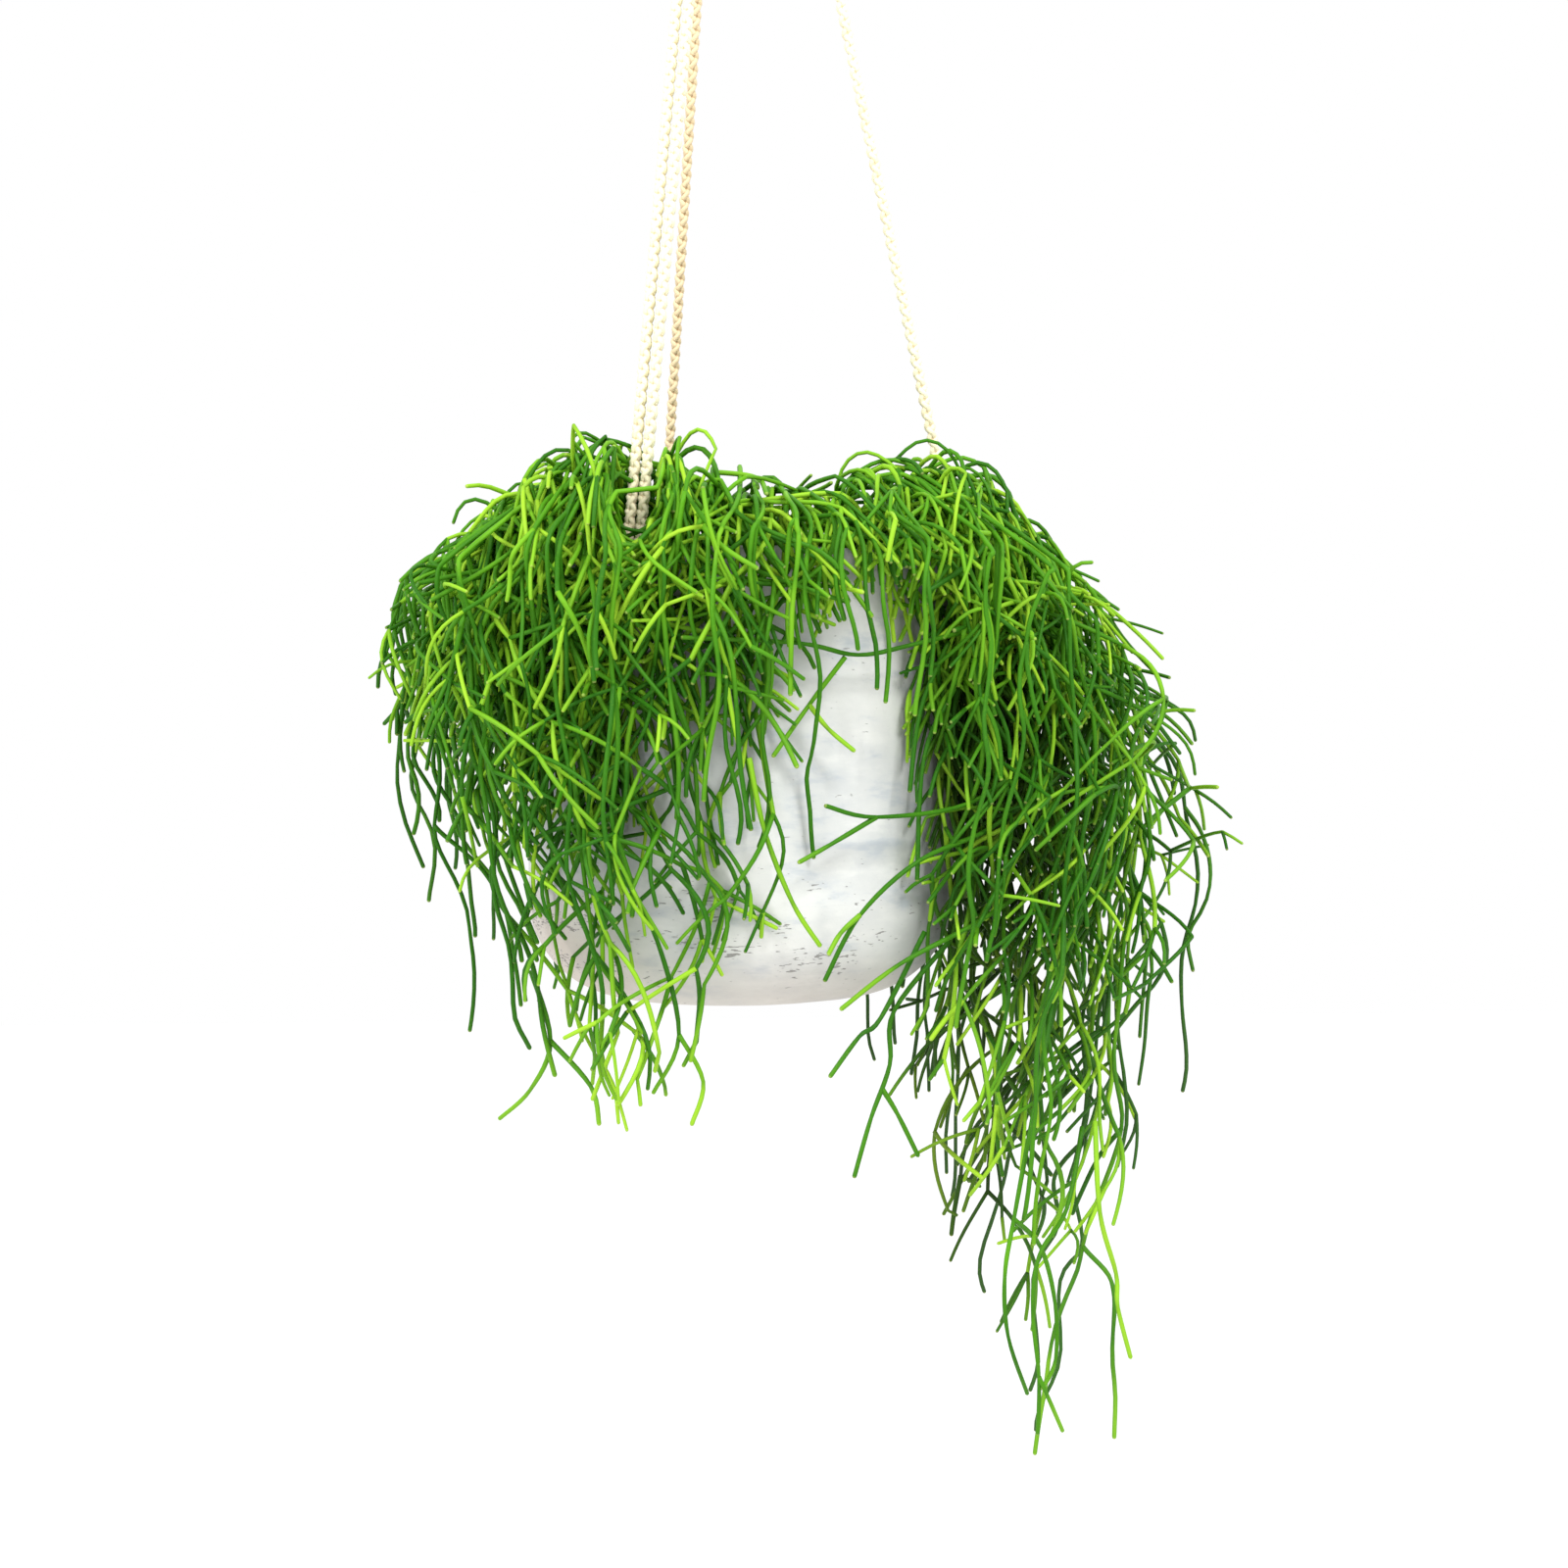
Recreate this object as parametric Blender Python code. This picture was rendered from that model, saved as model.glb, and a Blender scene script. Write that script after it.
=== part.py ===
"""Potted rhipsalis hanging on rope strands.

A round clay pot hangs on four strands of braided rope that meet in a whipped collar under a rope loop.
Two dozen sprays of thin forking stems stand in the soil, arch over the rim and trail round the pot.
+Z is up, +X is to the viewer's right and the viewer looks along +Y. The origin is the point where a
hook bears in the top loop, straight above the pot's axis. Azimuths run from the viewer's side (-Y)
towards +X.
"""

import math
import random

import bmesh
import bpy
from mathutils import Matrix, Vector

# Pot
POT_RADIUS = 0.100
POT_HEIGHT = 0.199
RIM_Z = -0.548
BARREL = 0.0012  # how much the wall draws in at the rim and low down
BELLY = 0.45  # where it is widest, as a share of the height below the rim
WALL = 0.0082
FLOOR = 0.010
FOOT_ROUND = 0.048  # outer radius of the rounded foot
RIM_ROUND = 0.0028
POT_SIDES = 32

# Ropes
ROPE = 0.0052  # diameter
ROPE_OUT = POT_RADIUS + 0.0037  # where the strands' centres pass the rim
ROPE_TOP = 0.0052  # how far from the middle they meet the collar
TOP_GAP = 0.0009  # and how far below it, for their slanting ends
PAIR_HALF = 0.0029  # half the distance between the two front strands
PAIR_SPREAD = 40.0  # degrees that each of the two turns aside on its way up
HOLE_DROP = 0.0155  # the holes' centre below the rim
HOLE_RADIUS = 0.0056
BEND = 2.0 * ROPE  # radius of a strand's turn into the wall
BEND_LEAD = 0.006  # straight stretch above that turn
FRONT, RIGHT, BACK, FULL = -24.0, 88.0, 204.5, 360.0  # azimuths of the ropes, and a whole turn
STRANDS = {
    "rope_front_a": (FRONT, -PAIR_HALF),
    "rope_front_b": (FRONT, PAIR_HALF),
    "rope_right": (RIGHT, 0.0),
    "rope_back": (BACK, 0.0),
}
HOLES = {"knot_front": (FRONT, PAIR_HALF), "knot_right": (RIGHT, 0.0), "knot_back": (BACK, 0.0)}
STRAIGHT_POINTS = 9
BEND_POINTS = 7
KNOT_RADIUS = 0.0072
KNOT_RING = 0.071  # the knots lie outside this distance from the axis

# Collar and loop at the top
COLLAR_RADIUS = 0.0096
COLLAR_TOP = -0.030
COLLAR_BOTTOM = -0.054
EYE_HALF = 0.0105  # half the loop's inner width
LOOP_SINK = 0.004  # how deep the loop's feet stand in the collar
LOOP_FEET = (0.0040, 0.0052)  # their distance from the middle, there and as far above the collar

# Soil
SOIL_DROP = 0.028
SOIL_BUMP = 0.0016
ROOT_DEPTH = 0.012
ROOT_RADIUS = 0.0034
ROOT_CUT = 0.03  # length of the cutter for a root's hole

# Plant
STEM_RADIUS = 0.0013
STEM_TIP = 0.72  # a stem's radius at its tip, as a share
STEM_SIDES = 3
STEMS = 3  # main stems of a spray
ARCH_STEP = 0.021  # distance between a stem's points on its way up and over the rim
TRAIL_STEP = 0.048  # and where it trails, with a joint at each point
STEM_START = 0.004  # how deep a stem starts in its root
ROOT_TOP = 0.008  # how far the root stands out of the soil
CREST = (0.008, 0.034)  # height over the rim at which stems turn outward
CROWN_CREST = (0.010, 0.034)
OVER_RIM = 0.006  # height at which a stem may cross the rim
UNDER_RIM = 0.06  # how deep inside the pot stems and knots may meet
PAST_WALL = 0.004  # how far outside the wall a stem starts to hang
TUCK = 0.5  # how far stems may draw in under the pot, for each unit of depth
RISE = 0.022  # how far below its crest a stem still climbs at 45 degrees
CLIMB = 1.8  # the steepest climb, as rise over run
DIP = -0.25  # and the steepest way down before the rim is passed
EASE_OUT = 0.05  # how far inside its reach a trailing stem stops moving outward
SPREAD = 0.9  # the most that a trailing stem moves outward, for each unit down
CLOSE_IN = 0.30  # the share of its reach that a stem gives up over the lower half of its trail
BEND_UP = 0.55  # how much of the way to its aim a stem's heading turns at a step, before the rim
BEND_OVER = 0.45  # past the rim
BEND_DOWN = 0.60  # and where it trails
MAIN_KINK = 0.30  # how much a stem turns aside at a joint
FORK_KINK = 1.0  # and how much a side shoot does
HEADING_TRIES = 5
SHOOT_CHANCE = (0.22, 0.10)  # of a side shoot at a joint of a main stem, and of a side shoot
SHOOT_JOINTS = 3  # the most joints of a side shoot
JOINTS = 5  # joints of a main stem up to the rim
CROWN_JOINTS = 2
ROOT_LEAN = 0.6  # how far apart a spray's main stems lean
ROOT_RING = 0.052
CROWN_SEED = 210
CROWN_RING = 0.020
CROWN_LIMIT = 0.037
SPRAY_LIMIT = 0.30
ROPE_FADE = (0.075, 0.030)  # stems need no room for the strands lower than this, and the height of the change
CLEAR = 0.0005
GAP = 0.0003

# Borders between which the outer sprays grow: azimuth from, azimuth to, sprays
SECTORS = [(FRONT, RIGHT, 7), (RIGHT, BACK, 6), (BACK, FRONT + FULL, 8)]
CROWN_SECTORS = [(-30.0, 90.0), (90.0, 210.0), (210.0, 330.0)]

# The plant's habit by azimuth: how far the longest stems trail below the rim, and their reach from the axis
HABIT = [
    (-165, 0.175, 0.160),
    (-125, 0.180, 0.162),
    (-90, 0.170, 0.166),
    (-62, 0.190, 0.160),
    (-38, 0.235, 0.144),
    (-14, 0.175, 0.132),
    (8, 0.125, 0.124),
    (30, 0.080, 0.128),
    (52, 0.225, 0.158),
    (74, 0.380, 0.196),
    (98, 0.405, 0.222),
    (124, 0.340, 0.202),
    (150, 0.250, 0.178),
    (172, 0.185, 0.164),
]


def clear_scene():
    """Start from an empty scene."""
    for obj in list(bpy.data.objects):
        bpy.data.objects.remove(obj, do_unlink=True)


def material(name, colour, roughness):
    """A plain finish for one kind of piece."""
    made = bpy.data.materials.new(name)
    made.use_nodes = True
    shader = made.node_tree.nodes["Principled BSDF"]
    shader.inputs["Base Color"].default_value = (*colour, 1.0)
    shader.inputs["Roughness"].default_value = roughness
    return made


def add_object(name, mesh, finish):
    """Put a mesh in the scene as a named piece."""
    obj = bpy.data.objects.new(name, mesh)
    bpy.context.scene.collection.objects.link(obj)
    obj.data.materials.append(finish)
    return obj


def mesh_from(bm, name):
    """Turn a bmesh into mesh data with its faces pointing out."""
    bmesh.ops.recalc_face_normals(bm, faces=bm.faces)
    mesh = bpy.data.meshes.new(name)
    bm.to_mesh(mesh)
    bm.free()
    return mesh


def polar(azimuth, radius, z):
    """A point by its azimuth in degrees, distance from the axis and height."""
    turn = math.radians(azimuth)
    return Vector((radius * math.sin(turn), -radius * math.cos(turn), z))


def turned(profile, sides, name):
    """Spin a profile of (radius, z) points about Z; its first and last points lie on the axis."""
    bm = bmesh.new()
    points = [bm.verts.new((radius, 0.0, z)) for radius, z in profile]
    edges = [bm.edges.new(pair) for pair in zip(points, points[1:])]
    bmesh.ops.spin(
        bm,
        geom=points + edges,
        cent=(0, 0, 0),
        axis=(0, 0, 1),
        angle=2 * math.pi,
        steps=sides,
        use_merge=True,
        use_duplicate=False,
    )
    bmesh.ops.remove_doubles(bm, verts=bm.verts, dist=1e-6)
    return mesh_from(bm, name)


def arc(centre_r, centre_z, radius, start, end, steps):
    """Points along an arc in the profile plane, by angles in degrees from the radial direction."""
    turns = [math.radians(start + (end - start) * k / steps) for k in range(steps + 1)]
    return [(centre_r + radius * math.cos(t), centre_z + radius * math.sin(t)) for t in turns]


def outer_radius(z):
    """The pot's outer radius at a height, above its rounded foot."""
    return POT_RADIUS - BARREL * ((z - RIM_Z) / (BELLY * POT_HEIGHT) + 1) ** 2


def cut(obj, cutter):
    """Cut one object with another and drop the cutter."""
    modifier = obj.modifiers.new("cut", "BOOLEAN")
    modifier.operation = "DIFFERENCE"
    modifier.object = cutter
    apply_modifiers(obj)
    bpy.data.objects.remove(cutter, do_unlink=True)


def apply_modifiers(obj):
    """Make an object's evaluated shape its own mesh."""
    graph = bpy.context.evaluated_depsgraph_get()
    mesh = bpy.data.meshes.new_from_object(obj.evaluated_get(graph))
    obj.modifiers.clear()
    obj.data = mesh


def build_pot(finish):
    """The pot, with a slot for the front pair of strands and a round hole for each other strand."""
    base = RIM_Z - POT_HEIGHT
    foot = arc(POT_RADIUS - FOOT_ROUND, base + FOOT_ROUND, FOOT_ROUND, -90, 0, 6)
    heights = [RIM_Z - POT_HEIGHT * part for part in (0.55, 0.3, 0.12)]
    side = [(outer_radius(z), z) for z in heights]
    rim_outer = outer_radius(RIM_Z)
    lip_out = arc(rim_outer - RIM_ROUND, RIM_Z - RIM_ROUND, RIM_ROUND, 0, 90, 2)
    rim_inner = rim_outer - WALL
    lip_in = arc(rim_inner + RIM_ROUND, RIM_Z - RIM_ROUND, RIM_ROUND, 90, 180, 2)
    round_in = FOOT_ROUND - WALL
    foot_in = arc(rim_inner - round_in, base + FLOOR + round_in, round_in, 0, -90, 4)
    profile = [(0.0, base)] + foot + side + lip_out + lip_in + foot_in + [(0.0, base + FLOOR)]
    pot = add_object("pot", turned(profile, POT_SIDES, "pot"), finish)
    hole_z = RIM_Z - HOLE_DROP
    for azimuth, half_width in HOLES.values():
        cut(pot, hole_cutter(azimuth, half_width, hole_z))
    pot.data.shade_smooth()
    pot.data.set_sharp_from_angle(angle=math.radians(35))
    return pot


def widen(bm, half_width):
    """Move the two halves of a round shape apart along X."""
    for vert in bm.verts:
        if abs(vert.co.x) > 1e-6:
            vert.co.x += math.copysign(half_width, vert.co.x)


def hole_cutter(azimuth, half_width, z):
    """A round-ended bar through the wall, for one rope hole."""
    bm = bmesh.new()
    bmesh.ops.create_circle(bm, cap_ends=True, cap_tris=False, segments=16, radius=HOLE_RADIUS)
    widen(bm, half_width)
    made = bmesh.ops.extrude_face_region(bm, geom=bm.faces[:])
    moved = [item for item in made["geom"] if isinstance(item, bmesh.types.BMVert)]
    bmesh.ops.translate(bm, verts=moved, vec=(0, 0, 5 * WALL))
    place = Matrix.Translation(polar(azimuth, POT_RADIUS - 3 * WALL, z))
    place @= Matrix.Rotation(math.radians(azimuth), 4, "Z") @ Matrix.Rotation(math.radians(90), 4, "X")
    bmesh.ops.transform(bm, matrix=place, verts=bm.verts)
    cutter = bpy.data.objects.new("hole_cutter", mesh_from(bm, "hole_cutter"))
    bpy.context.scene.collection.objects.link(cutter)
    return cutter


def soil_height(x, y):
    """The soil's bumpy surface."""
    waves = math.sin(95 * x + 1.3) * math.cos(80 * y - 0.4) + 0.6 * math.sin(210 * x - 170 * y)
    return RIM_Z - SOIL_DROP + SOIL_BUMP * waves


def build_soil(finish, roots):
    """The soil fills the pot, with a plain hole for each root."""
    base = RIM_Z - POT_HEIGHT + FLOOR + GAP
    side = outer_radius(RIM_Z) - WALL - GAP
    round_in = FOOT_ROUND - WALL
    foot = arc(side - round_in, base + round_in, round_in, -90, 0, 4)
    top = RIM_Z - SOIL_DROP
    rings = [(side * part, top) for part in (1.0, 0.72, 0.36)]
    profile = [(0.0, base)] + foot + rings + [(0.0, top)]
    mesh = turned(profile, POT_SIDES, "soil")
    for vert in mesh.vertices:
        if vert.co.z > top - 1e-5:
            vert.co.z = soil_height(vert.co.x, vert.co.y)
    soil = add_object("soil", mesh, finish)
    for root in roots:
        bm = bmesh.new()
        hole = ROOT_RADIUS + 2 * GAP
        low = RIM_Z - SOIL_DROP - ROOT_DEPTH - GAP
        bmesh.ops.create_cone(bm, cap_ends=True, segments=6, radius1=hole, radius2=hole, depth=ROOT_CUT)
        bmesh.ops.translate(bm, verts=bm.verts, vec=(root.x, root.y, low + ROOT_CUT / 2))
        cutter = bpy.data.objects.new("root_cutter", mesh_from(bm, "root_cutter"))
        bpy.context.scene.collection.objects.link(cutter)
        cut(soil, cutter)
    return soil


def tube_object(name, points, radius, finish, resolution=2):
    """A capped round tube along a list of points."""
    curve = bpy.data.curves.new(name, "CURVE")
    curve.dimensions = "3D"
    curve.bevel_depth = radius
    curve.bevel_resolution = resolution
    curve.use_fill_caps = True
    spline = curve.splines.new("POLY")
    spline.points.add(len(points) - 1)
    for spot, place in zip(spline.points, points):
        spot.co = (*place, 1.0)
    obj = bpy.data.objects.new(name, curve)
    bpy.context.scene.collection.objects.link(obj)
    obj.data.materials.append(finish)
    return obj


def strand_route(azimuth, aside):
    """A strand's centreline, from the knot through the wall, round the bend and up to the collar."""
    turn = math.radians(azimuth)
    sideways = Vector((math.cos(turn), math.sin(turn), 0.0)) * aside
    hole_z = RIM_Z - HOLE_DROP
    inner = outer_radius(RIM_Z) - WALL
    route = [polar(azimuth, inner - 0.0005, hole_z) + sideways]
    for k in range(BEND_POINTS + 1):
        angle = math.pi / 2 * k / BEND_POINTS
        radius = ROPE_OUT - BEND + BEND * math.sin(angle)
        route.append(polar(azimuth, radius, hole_z + BEND * (1 - math.cos(angle))) + sideways)
    turned_aside = math.copysign(PAIR_SPREAD, aside) if aside else 0.0
    top = polar(azimuth + turned_aside, ROPE_TOP, COLLAR_BOTTOM - TOP_GAP)
    start = route[-1] + Vector((0, 0, BEND_LEAD))
    for k in range(STRAIGHT_POINTS + 1):
        route.append(start.lerp(top, k / STRAIGHT_POINTS))
    return route


def build_ropes(finish):
    """The four strands, and the knots that hold them inside the wall."""
    for name, (azimuth, aside) in STRANDS.items():
        tube_object(name, strand_route(azimuth, aside), ROPE / 2, finish)
    inner = outer_radius(RIM_Z) - WALL
    for name, (azimuth, half_width) in HOLES.items():
        bm = bmesh.new()
        bmesh.ops.create_uvsphere(bm, u_segments=10, v_segments=7, radius=KNOT_RADIUS)
        widen(bm, half_width)
        place = polar(azimuth, inner - 3 * GAP - KNOT_RADIUS, RIM_Z - HOLE_DROP)
        turn = Matrix.Rotation(math.radians(azimuth), 4, "Z")
        bmesh.ops.transform(bm, matrix=Matrix.Translation(place) @ turn, verts=bm.verts)
        knot = add_object(name, mesh_from(bm, name), finish)
        knot.data.shade_smooth()


def build_top_loop(finish):
    """The whipped collar with the rope loop above it, in which the hook bears."""
    bevel = 0.0016
    profile = [(0.0, COLLAR_BOTTOM), (COLLAR_RADIUS - bevel, COLLAR_BOTTOM)]
    profile += [(COLLAR_RADIUS, COLLAR_BOTTOM + bevel), (COLLAR_RADIUS, COLLAR_TOP - bevel)]
    profile += [(COLLAR_RADIUS - bevel, COLLAR_TOP), (0.0, COLLAR_TOP)]
    collar = add_object("top_loop", turned(profile, 20, "top_loop"), finish)
    reach = EYE_HALF + ROPE / 2
    arch_z = ROPE / 2 - reach
    foot_heights = (COLLAR_TOP - LOOP_SINK, COLLAR_TOP + LOOP_SINK)
    foot = [Vector((aside, 0, z)) for aside, z in zip(LOOP_FEET, foot_heights)]
    arch = [
        Vector((reach * math.cos(t), 0, arch_z + reach * math.sin(t)))
        for t in [math.radians(-20 + 220 * k / 14) for k in range(15)]
    ]
    far_foot = [Vector((-spot.x, 0, spot.z)) for spot in reversed(foot)]
    loop = as_mesh(tube_object("loop_tube", foot + arch + far_foot, ROPE / 2, finish))
    union(collar, [loop])
    collar.data.shade_smooth()
    collar.data.set_sharp_from_angle(angle=math.radians(40))


def as_mesh(obj):
    """Swap a curve object for a mesh object of the same shape."""
    graph = bpy.context.evaluated_depsgraph_get()
    mesh = bpy.data.meshes.new_from_object(obj.evaluated_get(graph))
    made = bpy.data.objects.new(obj.name + "_mesh", mesh)
    bpy.context.scene.collection.objects.link(made)
    bpy.data.objects.remove(obj, do_unlink=True)
    return made


def union(obj, others, solver="EXACT"):
    """Join other closed meshes to one, and drop them."""
    group = bpy.data.collections.new("joined")
    bpy.context.scene.collection.children.link(group)
    for other in others:
        group.objects.link(other)
    modifier = obj.modifiers.new("join", "BOOLEAN")
    modifier.operation = "UNION"
    modifier.operand_type = "COLLECTION"
    modifier.collection = group
    modifier.solver = solver
    apply_modifiers(obj)
    for other in others:
        bpy.data.objects.remove(other, do_unlink=True)
    bpy.data.collections.remove(group)


def keep_largest(obj):
    """Drop the loose scraps and sealed hollows that a union may leave."""
    bm = bmesh.new()
    bm.from_mesh(obj.data)
    islands = []
    unseen = set(bm.faces)
    while unseen:
        front = [unseen.pop()]
        island = list(front)
        while front:
            near = {face for edge in front.pop().edges for face in edge.link_faces} & unseen
            unseen -= near
            front.extend(near)
            island.extend(near)
        islands.append(island)
    islands.sort(key=len)
    for island in islands[:-1]:
        bmesh.ops.delete(bm, geom=island, context="FACES")
    bm.to_mesh(obj.data)
    bm.free()


def habit(azimuth):
    """How far stems trail below the rim, and reach from the axis, smoothly between the azimuths in HABIT."""
    rows = HABIT + [(HABIT[0][0] + 360, *HABIT[0][1:])]
    turn = (azimuth - rows[0][0]) % 360 + rows[0][0]
    for low, high in zip(rows, rows[1:]):
        if low[0] <= turn <= high[0]:
            part = (turn - low[0]) / (high[0] - low[0])
            ease = part * part * (3 - 2 * part)
            return tuple(a + (b - a) * ease for a, b in zip(low[1:], high[1:]))
    return rows[0][1:]


def clear_of_pot(radius, z):
    """The nearest distance from the axis, at a height, where a stem touches neither the pot nor a knot."""
    if z > RIM_Z + OVER_RIM:
        return radius
    if radius < POT_RADIUS - WALL and z > RIM_Z - UNDER_RIM:
        return min(radius, KNOT_RING)
    beneath = max(0.0, RIM_Z - POT_HEIGHT - z)
    return max(radius, POT_RADIUS + 3 * STEM_RADIUS - TUCK * beneath, KNOT_RING)


def keep_in_wedge(point, wedge):
    """Ease a point into a spray's own wedge, clear of its neighbours, of the ropes and of the pot."""
    start, end, start_rope, end_rope, low_r, high_r = wedge
    radius = math.hypot(point.x, point.y)
    radius = min(max(radius, low_r), high_r)
    if low_r >= CROWN_LIMIT:
        radius = clear_of_pot(radius, point.z)
    azimuth = math.degrees(math.atan2(point.x, -point.y))
    middle = (start + end) / 2
    azimuth = (azimuth - middle + 180) % 360 - 180
    own = STEM_RADIUS + CLEAR
    fade = min(1.0, max(0.0, (point.z - RIM_Z + ROPE_FADE[0]) / ROPE_FADE[1]))
    low = (start - middle) + math.degrees(math.asin(min(1, (own + start_rope * fade) / radius)))
    high = (end - middle) - math.degrees(math.asin(min(1, (own + end_rope * fade) / radius)))
    centre = (low + high) / 2
    half = max(0.0, (high - low) / 2)
    azimuth = centre + half * math.tanh((azimuth - centre) / half) if half > 0.05 else centre
    return polar(azimuth + middle, radius, point.z)


def open_heading(rng, place, heading, spread, taken):
    """Of a few kinked headings, the one that leads furthest from the stems that are there."""
    best = None
    for _ in range(HEADING_TRIES):
        kink = Vector((rng.uniform(-1, 1), rng.uniform(-1, 1), rng.uniform(-0.6, 0.6)))
        tried = (heading + kink * spread).normalized()
        ahead = place + tried * TRAIL_STEP
        free = min(((ahead - other).length for other in taken), default=1.0)
        if best is None or free > best[0]:
            best = (free, tried)
    return best[1]


def grow_stem(rng, start, heading, nature, wedge, joints, taken):
    """Grow one stem of some joints; return its points and where its side shoots start."""
    crest, trail, reach = nature
    points = [start.copy()]
    shoots = []
    place = start.copy()
    for joint in range(joints):
        trailing = place.z < RIM_Z and joint > 0
        for _ in range(1 if trailing else 2):
            outward = Vector((place.x, place.y, 0)).normalized()
            radius = math.hypot(place.x, place.y)
            if radius > POT_RADIUS + PAST_WALL:
                low = min(1.0, max(0.0, 2 * (RIM_Z - place.z) / trail - 1))
                room = min(max((reach * (1 - CLOSE_IN * low) - radius) / EASE_OUT, DIP), SPREAD)
                aim = outward * room + Vector((0, 0, -1))
                rate = BEND_DOWN if trailing else BEND_OVER
            else:
                lift = min(max((RIM_Z + crest - place.z) / RISE, DIP), CLIMB)
                aim = outward + Vector((0, 0, lift))
                rate = BEND_UP
            heading = (heading + (aim.normalized() - heading) * rate).normalized()
            step = TRAIL_STEP if trailing else ARCH_STEP
            place = keep_in_wedge(place + heading * step, wedge)
            points.append(place.copy())
        if place.z < RIM_Z - trail + TRAIL_STEP / 2:
            break
        shoots.append((place.copy(), heading.copy(), joint))
        heading = open_heading(rng, place, heading, MAIN_KINK, taken)
    taken.extend(points)
    return points, shoots


def grow_spray(seed, azimuth, wedge, crown=False):
    """All stems of one spray, each a list of points from its root or fork to its tip."""
    rng = random.Random(seed)
    trail, reach = habit(azimuth)
    ring = CROWN_RING if crown else ROOT_RING
    root = polar(azimuth, ring, RIM_Z - SOIL_DROP - ROOT_DEPTH)
    top = root + Vector((0, 0, ROOT_DEPTH + ROOT_TOP))
    outward = Vector((root.x, root.y, 0)).normalized()
    sideways = Vector((-outward.y, outward.x, 0))
    made = []
    taken = []
    queue = []
    for k in range(STEMS):
        lean = (k - (STEMS - 1) / 2) * ROOT_LEAN
        heading = Vector((0, 0, 1)) + outward * rng.uniform(0.15, 0.5) + sideways * lean
        crest = rng.uniform(*(CROWN_CREST if crown else CREST))
        own_trail = trail * rng.uniform(0.5, 0.95) if k else trail
        nature = (crest, own_trail, reach * rng.uniform(0.80, 1.0))
        joints = CROWN_JOINTS if crown else JOINTS + round(own_trail / TRAIL_STEP)
        queue.append((top - Vector((0, 0, STEM_START)), heading.normalized(), nature, joints, 0))
    while queue:
        start, heading, nature, joints, order = queue.pop(0)
        points, shoots = grow_stem(rng, start, heading, nature, wedge, joints, taken)
        made.append(points)
        for place, along, joint in shoots[:-1]:
            left = joints - joint - 1
            if order < len(SHOOT_CHANCE) and rng.random() < SHOOT_CHANCE[order]:
                own = (nature[0] * rng.uniform(0.8, 1.1), nature[1], nature[2] * rng.uniform(0.9, 1.12))
                length = min(left, rng.randint(1, SHOOT_JOINTS) if order == 0 else 1)
                aside = open_heading(rng, place, along, FORK_KINK, taken)
                queue.append((place, aside, own, length, order + 1))
    return root, top, made


def build_spray(name, finish, root, top, stems):
    """One spray: a root stub with its stems fused to it and to each other."""
    bm = bmesh.new()
    depth = top.z - root.z
    bmesh.ops.create_cone(
        bm, cap_ends=True, segments=6, radius1=ROOT_RADIUS, radius2=ROOT_RADIUS * 0.7, depth=depth
    )
    bmesh.ops.translate(bm, verts=bm.verts, vec=(root + top) / 2)
    spray = add_object(name, mesh_from(bm, name), finish)
    tubes = [stem_tube(f"{name}_{k}", points) for k, points in enumerate(stems)]
    union(spray, tubes)
    keep_largest(spray)
    return spray


def stem_tube(name, points):
    """A slim three-sided tube that narrows to its tip."""
    bm = bmesh.new()
    rings = []
    side = Vector((0, 0, 1)).cross(points[1] - points[0])
    if side.length < 1e-4:
        side = Vector((1, 0, 0))
    for k, place in enumerate(points):
        before = points[max(k - 1, 0)]
        after = points[min(k + 1, len(points) - 1)]
        along = (after - before).normalized()
        side = (side - along * side.dot(along)).normalized()
        other = along.cross(side)
        radius = STEM_RADIUS * (1 + (STEM_TIP - 1) * k / (len(points) - 1))
        turns = [2 * math.pi * j / STEM_SIDES for j in range(STEM_SIDES)]
        spots = [place + (side * math.cos(t) + other * math.sin(t)) * radius for t in turns]
        rings.append([bm.verts.new(spot) for spot in spots])
    for low, high in zip(rings, rings[1:]):
        for j in range(STEM_SIDES):
            beside = (j + 1) % STEM_SIDES
            bm.faces.new((low[j], low[beside], high[beside], high[j]))
    bm.faces.new(reversed(rings[0]))
    bm.faces.new(rings[-1])
    bmesh.ops.triangulate(bm, faces=bm.faces)
    tube = bpy.data.objects.new(name, mesh_from(bm, name))
    bpy.context.scene.collection.objects.link(tube)
    return tube


def spray_places():
    """Each spray's name, seed, azimuth, wedge and whether it stands in the crown."""
    pair_room = ROPE / 2 + PAIR_HALF
    rope_room = {FRONT: pair_room, RIGHT: ROPE / 2, BACK: ROPE / 2, FRONT + FULL: pair_room}
    places = []
    for start, end, count in SECTORS:
        width = (end - start) / count
        for k in range(count):
            low = start + k * width
            high = low + width
            rooms = (rope_room.get(low, 0.0) if k == 0 else 0.0, rope_room[end] if k == count - 1 else 0.0)
            wedge = (low, high, *rooms, CROWN_LIMIT + 2 * STEM_RADIUS, SPRAY_LIMIT)
            number = len(places) + 1
            places.append((f"spray_{number:02d}", number, (low + high) / 2, wedge, False))
    for k, (low, high) in enumerate(CROWN_SECTORS):
        wedge = (low, high, 0.0, 0.0, 2 * STEM_RADIUS, CROWN_LIMIT - STEM_RADIUS)
        places.append((f"crown_spray_{k + 1}", CROWN_SEED + k, (low + high) / 2, wedge, True))
    return places


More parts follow.
